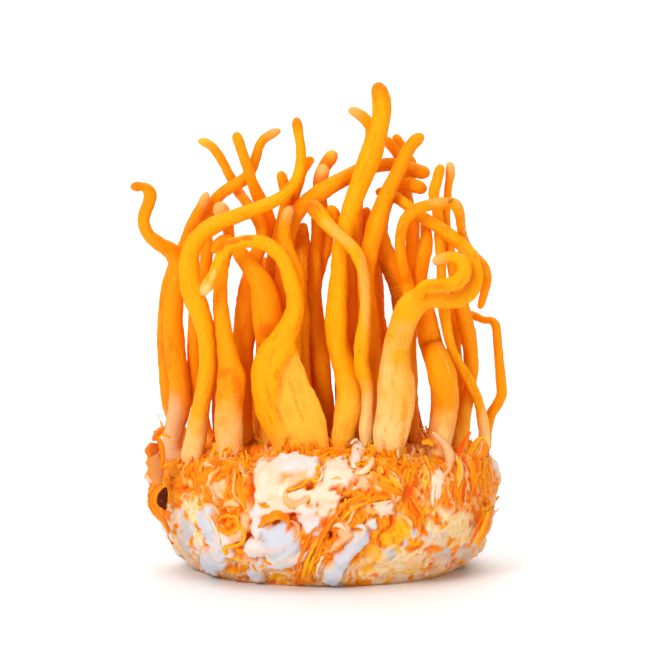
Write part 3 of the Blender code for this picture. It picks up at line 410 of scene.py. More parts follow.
# How each stem differs: its foot's tone, how far up that reaches in millimetres, its flesh and its tip.
STEM_LOOKS = {
    "right_spiral": (CREAM, 30, BRIGHT, BRIGHT),
    "tallest": (PALE, 17, BRIGHT, RUST),
    "ribbon": (PALE, 9, BRIGHT, BUFF),
    "left_front": (CREAM, 13, ORANGE, BUFF),
    "left_arch": (CREAM, 15, BRIGHT, RUST),
    "right_broad": (CREAM, 14, ORANGE, ORANGE),
    "crook": (CREAM, 17, BRIGHT, RUST),
    "left_curl": (SAND, 14, ORANGE, RUST),
    "right_outer": (PALE, 14, ORANGE, BUFF),
    "right_angle": (PALE, 8, ORANGE, ORANGE),
    "right_thin_front": (CREAM, 11, BRIGHT, ORANGE),
    "left_far_tip": (PALE, 8, ORANGE, PALE),
    "left_zigzag": (PALE, 8, ORANGE, BUFF),
    "mid_pale_tip": (PALE, 8, ORANGE, BUFF),
    "mid_short_tip": (PALE, 8, ORANGE, PALE),
    "mid_ball_tip": (PALE, 8, ORANGE, BUFF),
    "left_outer": (SAND, 12, ORANGE, BUFF),
    "top_prong": (PALE, 8, BRIGHT, BUFF),
    "right_hook": (BRIGHT, 8, BRIGHT, BUFF),
}
# Painted shade for the stems deep in the bunch: darker flesh, and darker still at the foot.
SHADED_FLESH = colour(238, 110, 0)
SHADED_FOOT = colour(206, 72, 0)
SCAB = colour(226, 78, 0)
# Painted shade on the stems, in dark brown.
PAINTED_DARK_SHADE = colour(150, 66, 10)
SCAR = colour(242, 158, 0)
# Painted shade on the stems, in orange.
PAINTED_SHADE = colour(226, 108, 0)
# Swellings and pinches as they lie in the front view: (across, up, reach, gain).
STEM_KNOBS = {
    "left_curl": [(-36.9, 76.6, 0.9, -0.22), (-38.2, 76.8, 1.2, 0.16), (-35.6, 75.0, 1.4, 0.12)],
    "right_ring": [(27.0, 72.9, 1.2, 0.26), (25.7, 73.6, 0.5, -0.10), (22.6, 73.0, 1.6, 0.12)],
    "right_spiral": [(24.0, 63.4, 1.4, 0.14)],
    "crook": [(-2.6, 72.0, 1.8, 0.16), (1.8, 66.6, 1.2, -0.08), (5.6, 62.0, 1.4, 0.08)],
    "left_zigzag": [(-17.6, 84.6, 1.4, 0.12)],
    "long_diagonal": [(-5.4, 84.6, 1.4, 0.10)],
    "ribbon": [(-24.6, 57.0, 1.6, 0.10), (-21.0, 63.4, 1.2, 0.10)],
    "tall_right": [(20.6, 85.6, 1.6, 0.10)],
}
# Marks as they lie in the front view, painted shade and a painted highlight among them: (across, up, half
# width, half height, tilt, strength, tone).
STEM_MARKS = {
    "ribbon": [
        (-21.4, 64.3, 1.7, 0.9, 40, 0.78, SCAB), (-18.8, 65.3, 1.6, 0.6, 14, 0.76, SCAB),
        (-15.9, 65.9, 1.3, 0.5, 0, 0.76, SCAB), (-24.2, 55.6, 0.9, 1.3, -20, 0.75, CREAM),
        (-22.8, 58.6, 0.6, 1.2, -20, 0.55, CREAM),
    ],
    "tallest": [(10.9, 97.4, 0.9, 0.8, -40, 0.90, SCAB), (11.6, 93.4, 0.35, 3.4, 8, 0.60, DEEP)],
    "left_arch": [(-6.0, 90.7, 0.6, 0.5, 0, 0.95, SCAB)],
    # The ring's dark brown spot is painted shade in the crease at its pinch.
    "right_ring": [
        (22.4, 73.2, 2.2, 0.8, 0, 0.50, BUFF), (24.7, 73.5, 0.6, 0.8, -20, 0.90, PAINTED_DARK_SHADE),
        (26.8, 73.0, 1.2, 1.0, -40, 0.50, BUFF),
    ],
    "right_spiral": [
        (15.4, 31.0, 0.50, 3.2, -4, 0.92, SCAR), (15.1, 25.8, 0.45, 2.4, -4, 0.88, SCAR),
        (13.6, 39.4, 0.30, 4.2, -7, 0.66, SCAR), (12.8, 31.6, 0.20, 2.6, -4, 0.55, SCAR),
        (16.8, 33.4, 0.16, 8.4, 2, 0.60, BUFF), (24.2, 62.6, 3.0, 1.3, 10, 0.45, BUFF),
        (15.4, 45.0, 2.4, 2.4, 0, 0.50, SCAR),
    ],
    # Two of the crook's buff marks, up its length and at its bend, are a painted highlight: a pale sheen
    # along its lit left edge.
    "crook": [
        (-2.8, 71.0, 1.6, 2.2, 30, 0.45, SCAB), (4.4, 60.6, 0.8, 3.0, 24, 0.45, SCAB),
        (8.3, 29.0, 1.5, 6.0, 0, 0.66, CREAM), (7.6, 56.0, 1.1, 9.0, 2, 0.50, BUFF),
        (2.4, 66.8, 1.1, 4.0, 50, 0.50, BUFF),
    ],
    "left_zigzag": [(-16.6, 82.0, 0.4, 0.4, 0, 0.90, BUFF), (-18.0, 85.6, 0.9, 1.1, 20, 0.50, SCAB)],
    "right_broad": [(23.6, 41.6, 0.3, 5.4, 24, 0.70, PALE), (26.4, 33.6, 0.3, 3.2, 12, 0.70, PALE)],
    # The left front stem's marks are painted shade: under its fold, and on the upper part that passes behind.
    "left_front": [
        (-20.8, 39.0, 2.2, 0.9, 24, 0.74, PAINTED_SHADE), (-17.9, 36.0, 1.0, 4.0, 12, 0.80, PAINTED_SHADE),
    ],
    # The knee's marks are painted shade: in its hollow, and in a line under its nub.
    "left_knee": [(-12.1, 47.6, 1.7, 1.5, 0, 0.78, PAINTED_SHADE), (-15.0, 44.6, 2.8, 0.4, 4, 0.80, PAINTED_SHADE)],
    "left_curl": [(-34.6, 43.0, 0.6, 1.1, 0, 0.55, SCAB), (-31.0, 28.0, 2.2, 6.5, 0, 0.74, SAND)],
    "right_thin_front": [(31.6, 27.4, 1.4, 4.6, 0, 0.70, CREAM)],
    # The blunt stem's dark brown patch is painted shade where it goes behind the spiral.
    "right_blunt": [(12.8, 55.6, 1.7, 6.0, 22, 0.62, PAINTED_DARK_SHADE)],
}
stem_names = sorted(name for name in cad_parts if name.startswith("stem_"))
for number, name in enumerate(stem_names):
    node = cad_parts[name]
    hook = name == "stem_right_hook"
    rings = rings_of(node, (1, 0, 0) if hook else (0, 0, 1))
    broad = name in ("stem_ribbon", "stem_left_knee", "stem_right_spiral")
    kind = name[5:]
    piece = "flesh_" + kind
    # The hooked stem forks off the spiralling one, and its foot lies inside it.
    foot = (0.0156, -0.0184, 0.0524) if hook else None
    sides, swell = (44, 0.02) if broad else (26, 0.045)
    mesh = stem_mesh(kind, rings, sides, swell, 0.05, number + 3, broad, foot)
    made = placed(piece, mesh)
    # The stems in the depth of the bunch get painted shade: deep orange flesh, and darker still towards the
    # foot.
    deep_in = name.startswith("stem_back")
    look = STEM_LOOKS.get(kind, (SHADED_FOOT, 26, SHADED_FLESH, ORANGE) if deep_in else (PALE, 8, ORANGE, ORANGE))
    made.data.materials.append(stem_material(piece, *look, number))
    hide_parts(name)
    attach(made, "root")

# The block: damp grain bound by mycelium, which has grown over it as a torn, folded felt. It is white and
# ivory where it is young and amber and gold where it has ripened; its creases and the hollows between its
# folds are given painted shade in ember and dark brown.

BLOCK_OUTLINE = [
    (25.5, 0.0), (27.0, 1.2), (29.4, 3.4), (31.6, 6.8), (32.7, 11.0), (33.1, 15.5),
    (32.8, 18.8), (31.9, 21.2), (29.4, 23.0), (24.5, 24.6), (17.0, 25.6), (9.0, 26.1), (2.0, 26.3),
]
BLOCK_LUMPS = [
    (182, 20.0, 3.2, 9, 3.2), (186, 13.5, 2.2, 8, 3.0), (214, 17.0, -1.4, 7, 4.0), (232, 9.0, 1.0, 13, 5.0),
    (250, 17.0, 1.7, 12, 4.2), (262, 14.0, -1.6, 5, 2.6), (276, 13.0, 1.5, 10, 4.6), (290, 19.5, 1.3, 6, 3.0),
    (303, 9.0, 1.4, 10, 4.4), (316, 19.0, 1.8, 8, 3.2), (333, 14.0, -1.0, 8, 4.0), (352, 17.0, 1.2, 9, 4.0),
    (12, 11.0, 1.0, 12, 5.0), (40, 18.0, 1.4, 11, 4.0), (66, 12.0, -1.0, 9, 4.0), (88, 17.0, 1.6, 12, 4.6),
    (115, 9.0, 1.2, 12, 5.0), (138, 18.0, 1.5, 10, 3.8), (160, 12.0, -1.1, 9, 4.0),
]
# The felt's tones.
AMBER = colour(252, 138, 0)
GOLD = colour(252, 180, 20)
# Ember is the felt's own tone in places, and painted shade in its hollows and creases.
EMBER_AND_SHADE = colour(240, 84, 0)
PIT_SHADE = colour(138, 36, 0)
WHITE = colour(226, 219, 214)
BLUE = colour(207, 210, 218)
IVORY = colour(242, 216, 188)
PEACH = colour(246, 186, 134)
GREY = colour(196, 197, 201)
BEIGE = colour(248, 226, 174)
# Young folds as they lie in the front view: (across, up, half width, half height, tilt, rise, tone).
FOLDS = [
    (-11.6, 16.4, 3.1, 4.9, 4, 1.5, IVORY), (-6.2, 20.0, 4.4, 1.9, -6, 1.4, WHITE),
    (-8.6, 14.2, 3.6, 3.0, 20, 1.1, IVORY), (-5.4, 17.6, 2.4, 1.4, 24, 0.8, PEACH),
    (-3.0, 19.0, 2.0, 1.9, 0, 1.5, WHITE), (2.2, 18.4, 3.1, 2.7, -10, 1.2, IVORY),
    (-0.6, 13.6, 2.9, 3.1, 0, 1.4, IVORY), (-3.8, 9.9, 2.1, 3.5, 24, 1.3, WHITE),
    (-9.2, 5.0, 3.9, 3.8, 14, 1.6, BLUE), (-14.4, 4.2, 3.0, 1.8, -12, 1.2, WHITE),
    (-8.6, 1.6, 4.0, 1.5, 10, 0.9, WHITE), (-23.4, 8.6, 1.6, 3.6, 16, 1.3, BLUE),
    (-22.4, 1.4, 2.7, 2.5, 14, 1.0, BLUE), (-20.4, 5.0, 1.9, 2.6, 14, 1.0, WHITE),
    (-21.8, 15.6, 1.0, 1.9, -24, 0.7, PEACH), (-16.4, 9.2, 0.9, 2.6, 0, 0.8, PEACH),
    (-14.0, -1.2, 1.7, 1.9, 0, 0.6, BLUE), (-17.6, 6.6, 2.2, 1.4, 12, 1.0, PEACH),
    (-14.0, 9.0, 1.1, 4.6, 0, 0.8, WHITE), (-10.2, 11.8, 3.4, 1.6, 0, 0.7, IVORY),
    (5.2, 4.2, 1.5, 4.8, -40, 1.4, BLUE), (1.2, -1.4, 1.9, 2.6, -20, 1.0, BLUE),
    (3.6, 6.6, 1.2, 1.7, 30, 0.9, PEACH), (8.8, 8.8, 1.3, 1.1, 0, 0.7, WHITE),
    (11.9, 11.8, 1.7, 1.3, 0, 0.6, IVORY), (22.0, 16.8, 1.2, 2.6, -4, 0.4, IVORY),
    (7.4, 17.6, 2.0, 1.3, -30, 0.8, PEACH),
]
# Damp grain shows as broad low stains: (across, up, half width, half height, tilt, tone).
STAINS = [
    (25.4, 8.2, 6.4, 5.6, 0, BEIGE), (13.4, 0.6, 7.6, 3.4, 4, BEIGE), (-26.4, 10.4, 2.8, 4.2, 20, BEIGE),
    (-29.8, 3.4, 2.8, 4.6, 24, BEIGE), (22.8, 2.4, 2.6, 2.0, 8, GREY), (28.2, 2.6, 1.8, 2.0, 20, GREY),
    (14.7, 10.5, 0.8, 1.6, -24, GREY), (17.4, 6.8, 0.9, 1.2, -10, GREY), (15.9, 4.7, 0.9, 1.3, 10, GREY),
    (12.0, 2.2, 2.0, 1.2, 20, GREY), (-25.6, 4.4, 1.0, 4.6, 16, BEIGE), (20.6, 6.2, 2.4, 0.7, 10, BLUE),
    (17.6, 11.4, 3.4, 1.5, -6, GOLD), (15.0, 7.6, 2.0, 3.0, 0, GOLD), (-9.4, -1.6, 3.4, 1.4, 0, GOLD),
    (8.6, 1.6, 2.4, 2.2, 20, GOLD), (12.6, 15.4, 2.4, 2.6, -30, GOLD), (27.0, 16.4, 4.6, 5.0, 0, GOLD),
    (7.2, 11.6, 1.5, 1.2, -20, PEACH), (11.4, 5.8, 1.2, 1.4, 20, GOLD), (-19.2, 12.4, 1.5, 0.9, 0, PEACH),
    (-28.6, 6.6, 1.8, 4.4, 16, GREY), (-25.6, 2.4, 1.4, 3.2, 20, WHITE), (-30.6, 9.6, 1.0, 2.6, 10, IVORY),
    (22.4, 6.0, 3.0, 1.4, 14, IVORY), (18.6, 0.8, 3.0, 1.0, 8, IVORY), (25.0, 11.8, 1.6, 1.0, 0, IVORY),
]
# Where the felt is combed into strands: (across, up, half width, half height, tilt, way, spacing).
STRANDS = [
    (-3.4, 2.4, 2.2, 6.4, -26, 62, 1.1), (1.0, 9.4, 1.7, 4.6, -34, 58, 1.0),
    (4.6, 11.6, 2.4, 3.0, -40, 44, 1.0), (12.0, 15.2, 3.4, 1.7, -12, 158, 1.1),
    (13.4, 17.6, 2.2, 2.2, 0, 128, 1.0), (16.6, 18.2, 1.5, 2.8, 0, 94, 0.9),
    (17.4, 11.2, 1.9, 3.4, 14, 112, 1.1), (26.0, 18.0, 7.4, 6.0, 0, 92, 1.15),
    (31.0, 9.4, 1.6, 6.0, 16, 74, 1.0), (-17.2, 15.4, 2.6, 4.2, 0, 104, 1.1),
    (-8.0, 23.6, 6.0, 2.0, 0, 96, 1.0), (-26.0, 18.4, 4.6, 3.6, 0, 80, 1.5),
]
# Creases and pits in the front view, sunk and given painted shade: (across, up, half width, half height,
# tilt, depth).
CREASES = [
    (-3.5, 16.2, 0.8, 0.6, 20, 2.2), (-5.9, 15.9, 2.3, 0.42, 24, 1.3), (-14.9, 15.6, 0.5, 3.6, 2, 1.2),
    (-16.0, 6.2, 0.6, 1.2, -20, 1.6), (-20.2, 10.6, 1.5, 0.5, -30, 1.4), (0.6, 6.4, 0.7, 1.1, 10, 1.8),
    (3.9, 13.7, 1.6, 0.5, 24, 1.6), (-8.6, 10.2, 3.2, 0.5, 12, 0.9), (-1.9, 12.6, 0.4, 0.5, 0, 0.5),
    (15.9, 14.8, 1.3, 1.7, 0, 0.5), (-28.4, 15.9, 1.3, 0.5, 30, 1.2), (-7.2, 8.6, 0.5, 1.0, -30, 0.7),
    (1.6, 15.8, 1.4, 0.4, 24, 0.6), (22.0, 10.3, 0.5, 0.7, 0, 0.6), (9.6, 19.6, 1.2, 0.7, -30, 1.6),
    (20.6, 22.2, 1.0, 0.7, 0, 1.6), (-16.8, 22.6, 2.8, 0.8, -6, 1.4),
]


def swirl(points, size, seed, count=12):
    """A smooth random field of about unit size in space, with swells about this many millimetres long."""
    source = np.random.default_rng(seed)
    ways = source.normal(size=(count, 3))
    ways *= (2 * math.pi / (size * source.uniform(0.7, 1.5, count)) / np.linalg.norm(ways, axis=1))[:, None]
    return np.sin(points @ ways.T + source.uniform(0, 2 * math.pi, count)).sum(axis=1) / math.sqrt(count / 2)


outline = smooth_line([(r, 0.0, z) for r, z in BLOCK_OUTLINE], 0.38)
outline_run = np.concatenate([[0.0], np.cumsum(np.linalg.norm(np.diff(outline, axis=0), axis=1))])


def block_surface(angle, run):
    """The block's plain surface at an angle and a run up its outline, as (points in millimetres, normals)."""
    radius = np.interp(run, outline_run, outline[:, 0])
    height = np.maximum(np.interp(run, outline_run, outline[:, 2]), 0.0)
    out = np.zeros_like(radius)
    for at, level, size, width, tall in BLOCK_LUMPS:
        aside = (angle - at + 180.0) % 360.0 - 180.0
        out += size * np.exp(-((aside / width) ** 2) - ((height - level) / tall) ** 2)
    for count, rate, start in ((3, 0.30, 0.7), (5, 0.23, 2.1), (8, 0.41, 4.0)):
        out += 0.45 * np.sin(count * np.radians(angle) + start) * np.sin(rate * height + start)
    side = np.clip(height / 3.0, 0, 1) * np.clip((25.0 - height) / 4.0, 0, 1)
    ahead, rise = (
        np.interp(run + 0.8, outline_run, line) - np.interp(run - 0.8, outline_run, line)
        for line in (outline[:, 0], outline[:, 2])
    )
    steep = np.sqrt(ahead ** 2 + rise ** 2) + 1e-9
    turn = np.radians(angle)
    girth = radius + side * out
    points = np.stack([girth * np.cos(turn), girth * np.sin(turn), height], axis=1)
    normals = np.stack([rise / steep * np.cos(turn), rise / steep * np.sin(turn), -ahead / steep], axis=1)
    return points, normals


def felt(points):
    """At points on the plain surface: the felt's rise in millimetres, its tone, and how shaggy it is."""
    across, up = front_view(points)
    front = ease(-points[:, 1], 2.0, 9.0)
    warp = np.stack([swirl(points, 7.0, seed) for seed in (31, 32, 33)], axis=1) * 1.4
    # Edges wander by about half a millimetre.
    ragged = swirl(points, 3.4, 34) * 0.34 + swirl(points, 1.5, 35) * 0.20
    bed = swirl(points + warp, 9.0, 36)
    # Ripe felt is torn upwards into folds: sharp crests, with painted shade in ember in the hollows between.
    folds = 1.0 - np.abs(swirl(points * (1.0, 1.0, 0.60) + warp, 3.0, 37))
    frills = 1.0 - np.abs(swirl(points * (1.0, 1.0, 0.55) + 1.2 * warp, 1.7, 38))
    shreds = 1.0 - np.abs(swirl(points * (1.0, 1.0, 0.22) + 0.5 * warp, 1.5, 39))
    soft = swirl(points + 0.6 * warp, 3.0, 43)
    grain = swirl(points, 1.1, 44)
    fibrous = ease(across, 14.0, 19.0) * ease(up, 9.0, 13.0) * front
    shaggy = 0.42 * folds + 0.26 * frills
    rise = 0.25 * bed + shaggy * (1 - fibrous) + (0.55 * shreds + 0.15 * frills) * fibrous
    tone = np.array(AMBER)[None, :3] * np.ones((len(points), 1))

    def paint(part, shade):
        nonlocal tone
        part = np.clip(part, 0.0, 1.0)[:, None]
        tone = tone * (1 - part) + np.asarray(shade)[..., :3] * part

    crest = (0.6 * folds + 0.4 * frills) * (1 - fibrous) + shreds * fibrous
    paint(0.9 * ease(crest, 0.45, 0.95), GOLD)
    paint(0.35 * ease(crest, 0.75, 1.0) * ease(soft, 0.0, 1.2), IVORY)
    # Painted shade in the hollows between the crests.
    paint(0.8 * ease(crest, 0.25, -0.55), EMBER_AND_SHADE)
    paint(0.55 * fibrous * ease(shreds, 0.0, 0.8), PEACH)
    # Damp grain shows low down, and in stains.
    stain = np.zeros(len(points))
    low = ease(8.0 + 2.5 * bed - points[:, 2], 0.0, 4.0) * (1 - front)
    paint(0.8 * low, BEIGE)
    for *oval, shade in STAINS:
        far = tilted(across, up, oval) + ragged * 0.8 + 0.12 * soft
        part = ease(1.2 - far, 0.0, 0.45) * front
        stain = np.maximum(stain, part)
        paint(0.9 * part, shade)
    stain = np.maximum(stain, low)
    rise = rise * (1 - 0.65 * stain) + 0.10 * grain * stain + 0.12 * soft * stain
    paint(0.55 * stain * ease(grain + 0.5 * soft, 0.6, 1.5), GOLD)
    paint(0.30 * stain * ease(-grain + 0.5 * soft, 1.0, 1.7), AMBER)
    foot = ease(4.5 - up, 0.0, 5.0) * front
    paint(0.7 * foot * ease(soft + 0.4 * bed, -0.5, 0.3), IVORY)
    paint(0.45 * foot * ease(-soft + 0.6 * bed, 0.1, 0.7), GOLD)
    # At the back and the sides the young folds lie as they happen to.
    bulge = swirl(points + warp, 8.0, 40) + ragged * 0.5
    sides = (1 - front) * ease(24.5 - points[:, 2], 0.0, 3.0)
    wild = ease(bulge, 0.35, 0.75) * sides
    rise = rise * (1 - 0.8 * wild) + wild * (0.5 + 0.7 * np.sqrt(np.clip(bulge - 0.3, 0.0, 1.5)))
    paint(0.8 * ease(bulge, 0.0, 0.5) * sides * ease(soft, -1.0, 0.2), PEACH)
    paint(wild, IVORY)
    paint(wild * ease(swirl(points, 6.0, 41), 0.0, 1.2), WHITE)
    paint(0.5 * wild * ease(soft, 0.2, 1.2), PEACH)
    for *oval, way, spacing in STRANDS:
        far = tilted(across, up, oval) + ragged * 0.4
        part = ease(1.25 - far, 0.0, 0.5) * front
        turn = math.radians(way)
        over = across * math.sin(turn) - up * math.cos(turn)
        over = over + 0.45 * spacing * swirl(points, 5.0, 45) + 0.16 * spacing * soft
        ridge = 1.0 - 2.0 * np.abs((over / spacing) % 1.0 - 0.5)
        lot = np.sin(np.floor(over / spacing) * 2.4 + 1.0)
        rise = rise * (1 - 0.8 * part) + part * (0.15 + 0.65 * np.sqrt(ridge) + 0.18 * lot)
        paint(part, AMBER)
        # Painted shade in the grooves between the strands.
        paint(0.8 * part * ease(ridge, 0.35, 0.0), EMBER_AND_SHADE)
        paint(0.8 * part * ease(ridge, 0.3, 0.9) * ease(lot, -0.3, 0.4), GOLD)
        paint(0.6 * part * ease(ridge, 0.4, 0.9) * ease(lot, 0.6, 0.9), IVORY)
    # Neighbouring young folds run into one another, with a soft crease in between that is sunk and given
    # painted shade.
    nearness = np.zeros(len(points))
    share = np.zeros(len(points))
    blend = np.zeros((len(points), 3))
    dome = np.zeros(len(points))
    for *oval, lift, shade in FOLDS:
        far = tilted(across, up, oval) * (1.0 + 0.05 * soft) + ragged / math.sqrt(oval[2] * oval[3])
        weight = np.exp(-6.0 * np.minimum(far, 6.0))
        nearness += np.exp(-9.0 * np.minimum(far, 6.0))
        share += weight
        blend += weight[:, None] * np.array(shade)[None, :3]
        dome = np.maximum(dome, lift * np.sqrt(np.clip(1.02 - far ** 2, 0.0, 1.0)))
    far = -np.log(nearness + 1e-30) / 9.0
    part = ease(1.12 - far, 0.0, 0.20) * front
    moat = np.exp(-(((far - 1.22) / 0.12) ** 2)) * front
    rise = rise * (1 - part) + (dome + 0.10 * soft + 0.25) * part - 0.55 * moat
    paint(0.75 * ease(1.42 - far, 0.0, 0.34) * front * ease(soft, -1.1, 0.3), PEACH)
    # Painted shade in the crease round the folds.
    paint(0.45 * moat * ease(-soft, 0.1, 0.9), EMBER_AND_SHADE)
    paint(part, blend / share[:, None])
    paint(0.5 * part * ease(far, 0.70, 1.05) * ease(soft, -0.4, 0.8), PEACH)
    paint(0.85 * np.exp(-(((far - 1.04) / 0.07) ** 2)) * front * ease(soft, -0.1, 0.5), GOLD)
    paint(0.34 * part * ease(soft, 0.1, 1.5), PEACH)
    young = np.maximum(wild, part)
    for *oval, deep in CREASES:
        far = tilted(across, up, oval) + ragged * 0.3
        pit = ease(1.25 - far, 0.0, 0.9) * front
        rise -= deep * pit
        # Painted shade: amber round each crease, ember in it, and dark brown in the deepest pits.
        paint(0.75 * ease(1.35 - far, 0.0, 0.5) * front, AMBER)
        paint(0.85 * pit, EMBER_AND_SHADE)
        paint(0.8 * ease(pit, 0.6, 1.0) * ease(deep, 1.0, 2.0), PIT_SHADE)
    rise = rise * np.clip(points[:, 2] / 1.5, 0.0, 1.0)
    shaggy = (1 - np.clip(young, 0, 1)) * (1 - stain)
    return np.clip(rise, -2.6, 1.9), tone, shaggy


def felt_material(name):
    """Felt: the colour painted on the mesh, specks and threads within it, and a matt fibrous grain."""
    made = Nodes(name)
    paint = made.add("ShaderNodeAttribute", attribute_name="felt_tone").outputs["Color"]
    where = made.add("ShaderNodeTexCoord").outputs["Object"]
    warped = made.add("ShaderNodeVectorMath", operation="MULTIPLY_ADD")
    coarse = made.add("ShaderNodeTexNoise", Vector=where, Scale=420.0, Detail=2.0)
    made.put(warped.inputs[0], coarse.outputs["Color"])
    made.put(warped.inputs[1], (0.0012, 0.0012, 0.0012))
    made.put(warped.inputs[2], where)
    specks = made.noise(warped.outputs[0], 1500.0, 3.0, 0.65)
    threads = made.noise(warped.outputs[0], 700.0, 4.0, 0.7)
    tone = made.mix(made.times(made.spread(specks, 0.58, 0.74), 0.28), paint, AMBER)
    tone = made.mix(made.times(made.spread(threads, 0.62, 0.76), 0.22), tone, GOLD)
    relief = made.math("ADD", specks, threads)
    return made.finish(tone, 0.66, 0.18, (0.25, (1.0, 0.5, 0.25), 0.0007), relief, 0.35)


felt_finish = felt_material("felt")


def felt_piece(name, points, faces, tones):
    """A piece of felt from points in millimetres, its faces and a tone at each point."""
    mesh = bpy.data.meshes.new(name)
    mesh.from_pydata((points * MM).tolist(), [], faces)
    mesh.shade_smooth()
    note(mesh, "felt_tone", "COLOR", np.concatenate([tones, np.ones((len(tones), 1))], axis=1))
    mesh.materials.append(felt_finish)
    made = placed(name, mesh)
    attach(made, "root")
    return made


# The front, where the folds are seen closest, has the finer half of the grid: steps in degrees, and in
# millimetres up the outline.
FRONT_STEP, BACK_STEP, RUN_STEP = 0.42, 0.9, 0.37
angles = np.concatenate([np.arange(180.0, 360.0, FRONT_STEP), np.arange(0.0, 180.0, BACK_STEP)])
runs = np.arange(0.0, outline_run[-1], RUN_STEP)
grid_run, grid_angle = np.meshgrid(runs, angles, indexing="ij")
plain, outward = block_surface(grid_angle.reshape(-1), grid_run.reshape(-1))
rise, tones, shaggy = felt(plain)
skin = plain + outward * rise[:, None]
skin[:, 2] = np.maximum(skin[:, 2], 0.0)
block = felt_piece("felt_block", skin, tube_faces(len(runs), len(angles)), tones)
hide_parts("mycelium_block")

# Flakes of the felt: where it is ripe it has torn into thin curled tongues that stand off the block, most of
# them along its upper edge and round the feet of the stems. All are one felt, in a few pieces.


# A flake is a sheet of this many corners along and across it.
LONG, BROAD = 7, 5


def flakes(name, feet, outs, ways, length, width, lean, curl, seed, shades):
    """Curled tongues standing at feet. Each runs its way, leans off the surface and ends in a torn tip."""
    source = np.random.default_rng(seed)
    count = len(feet)
    outs = outs / np.linalg.norm(outs, axis=1)[:, None]
    ways = ways - outs * (ways * outs).sum(axis=1)[:, None]
    ways /= np.linalg.norm(ways, axis=1)[:, None]
    part = np.linspace(0.0, 1.0, LONG)
    aside = np.linspace(-1.0, 1.0, BROAD)
    turn = lean[:, None] + curl[:, None] * part ** 1.3
    heading = ways[:, None] * np.cos(turn)[..., None] + outs[:, None] * np.sin(turn)[..., None]
    upward = outs[:, None] * np.cos(turn)[..., None] - ways[:, None] * np.sin(turn)[..., None]
    step = (length / (LONG - 1))[:, None, None]
    line = np.cumsum(heading * step, axis=1) - heading[:, :1] * step
    line += feet[:, None] - outs[:, None] * 0.35
    sway = np.cross(ways, outs)
    bend = source.uniform(-0.5, 0.5, (count, 1)) * length[:, None] * part ** 2
    blunt = source.uniform(0.4, 1.0, (count, 1))
    shape = np.sin(math.pi * (0.20 + 0.73 * part)) ** blunt
    torn = 1.0 + 0.26 * source.normal(size=(count, LONG, BROAD)) * np.linspace(0.2, 1.0, LONG)[:, None]
    half = width[:, None] * shape
    cup = source.uniform(0.1, 0.9, (count, 1, 1)) * source.choice((-1.0, 1.0, 1.0), (count, 1, 1))
    wave = np.sin(source.uniform(4, 10, (count, 1)) * part + source.uniform(0, 6.3, (count, 1)))[:, :, None]
    lift = (cup * aside ** 2 + 0.35 * wave * np.abs(aside) * aside) * half[..., None]
    points = (
        line[:, :, None]
        + sway[:, None, None] * (bend[..., None] + half[..., None] * aside * torn)[..., None]
        + upward[:, :, None] * lift[..., None]
    )
    foot, body, edge = (np.array(shade)[:, None, None, :3] for shade in shades)
    rim = np.maximum(np.abs(aside)[None, None, :] ** 2, part[None, :, None] ** 3)[..., None]
    tones = foot + (body - foot) * ease(part, 0.0, 0.45)[None, :, None, None]
    tones = tones + (edge - tones) * rim
    corner = np.arange(count * LONG * BROAD).reshape(count, LONG, BROAD)[:, :-1, :-1]
    quads = np.stack([corner, corner + 1, corner + BROAD + 1, corner + BROAD], axis=-1).reshape(-1, 4)
    points = points.reshape(-1, 3)
    points[:, 2] = np.maximum(points[:, 2], 0.2)
    made = felt_piece(name, points, quads.tolist(), tones.reshape(-1, 3))
    thick = made.modifiers.new("thickness", "SOLIDIFY")
    thick.thickness = 0.14 * MM
    thick.offset = 0.0
    return made


def toned(source, count, choices):
    """A foot, body and edge tone for each of count flakes, drawn from choices of three."""
    picked = source.integers(0, len(choices), count)
    return [np.array([choices[one][which][:3] for one in picked]) for which in range(3)]


def grown(bed, shades):
    """The tones of flakes that grow out of such a bed: its own tone at the foot, and less of it beyond."""
    return [bed, 0.45 * bed + 0.55 * shades[1], 0.3 * bed + 0.7 * shades[2]]


RIPE = [
    (EMBER_AND_SHADE, AMBER, GOLD), (AMBER, AMBER, GOLD), (AMBER, GOLD, GOLD),
    (EMBER_AND_SHADE, AMBER, AMBER), (AMBER, AMBER, AMBER),
]
PALE_RIPE = [
    (AMBER, GOLD, IVORY), (GOLD, PEACH, GOLD),
    (EMBER_AND_SHADE, AMBER, GOLD), (AMBER, PEACH, GOLD),
]


def climbing(source, outs, spread):
    """Ways that run up the block, each leaning aside by chance."""
    aside = np.stack([-outs[:, 1], outs[:, 0], 0 * outs[:, 0]], axis=1)
    return np.array((0.0, 0.0, 1.0)) + aside * source.normal(0, spread, len(outs))[:, None]


# Flank flakes: scattered wherever the felt is shaggy, thicker towards the top.
source = np.random.default_rng(71)
total = 3400
angle = source.uniform(0.0, 360.0, total)
run = outline_run[-1] * 0.60 * np.sqrt(source.uniform(0.02, 1.0, total))
at, out = block_surface(angle, run)
lift, tone_there, wool = felt(at)
calm = 0.45 * ease(-at[:, 0], 5.0, 10.0) * (at[:, 1] < 0)
kept = source.uniform(0.0, 1.0, total) < wool ** 2 * ease(at[:, 2], 3.0, 19.0) * (0.68 - calm)
kept &= at[:, 2] > 1.0
at, out, lift, tone_there = at[kept], out[kept], lift[kept], tone_there[kept]
total = len(at)
right = (at[:, 0] > 13.0) & (at[:, 1] < 0)
way = climbing(source, out, 0.7)
flakes(
    "felt_flank_flakes", at + out * lift[:, None], out, way,
    source.uniform(0.9, 2.4, total) * np.where(right, 1.3, 1.0),
    source.uniform(0.20, 0.62, total) * np.where(right, 0.7, 1.0),
    source.uniform(0.0, 0.4, total), source.normal(0.1, 0.6, total), 72,
    grown(tone_there, toned(source, total, RIPE)),
)

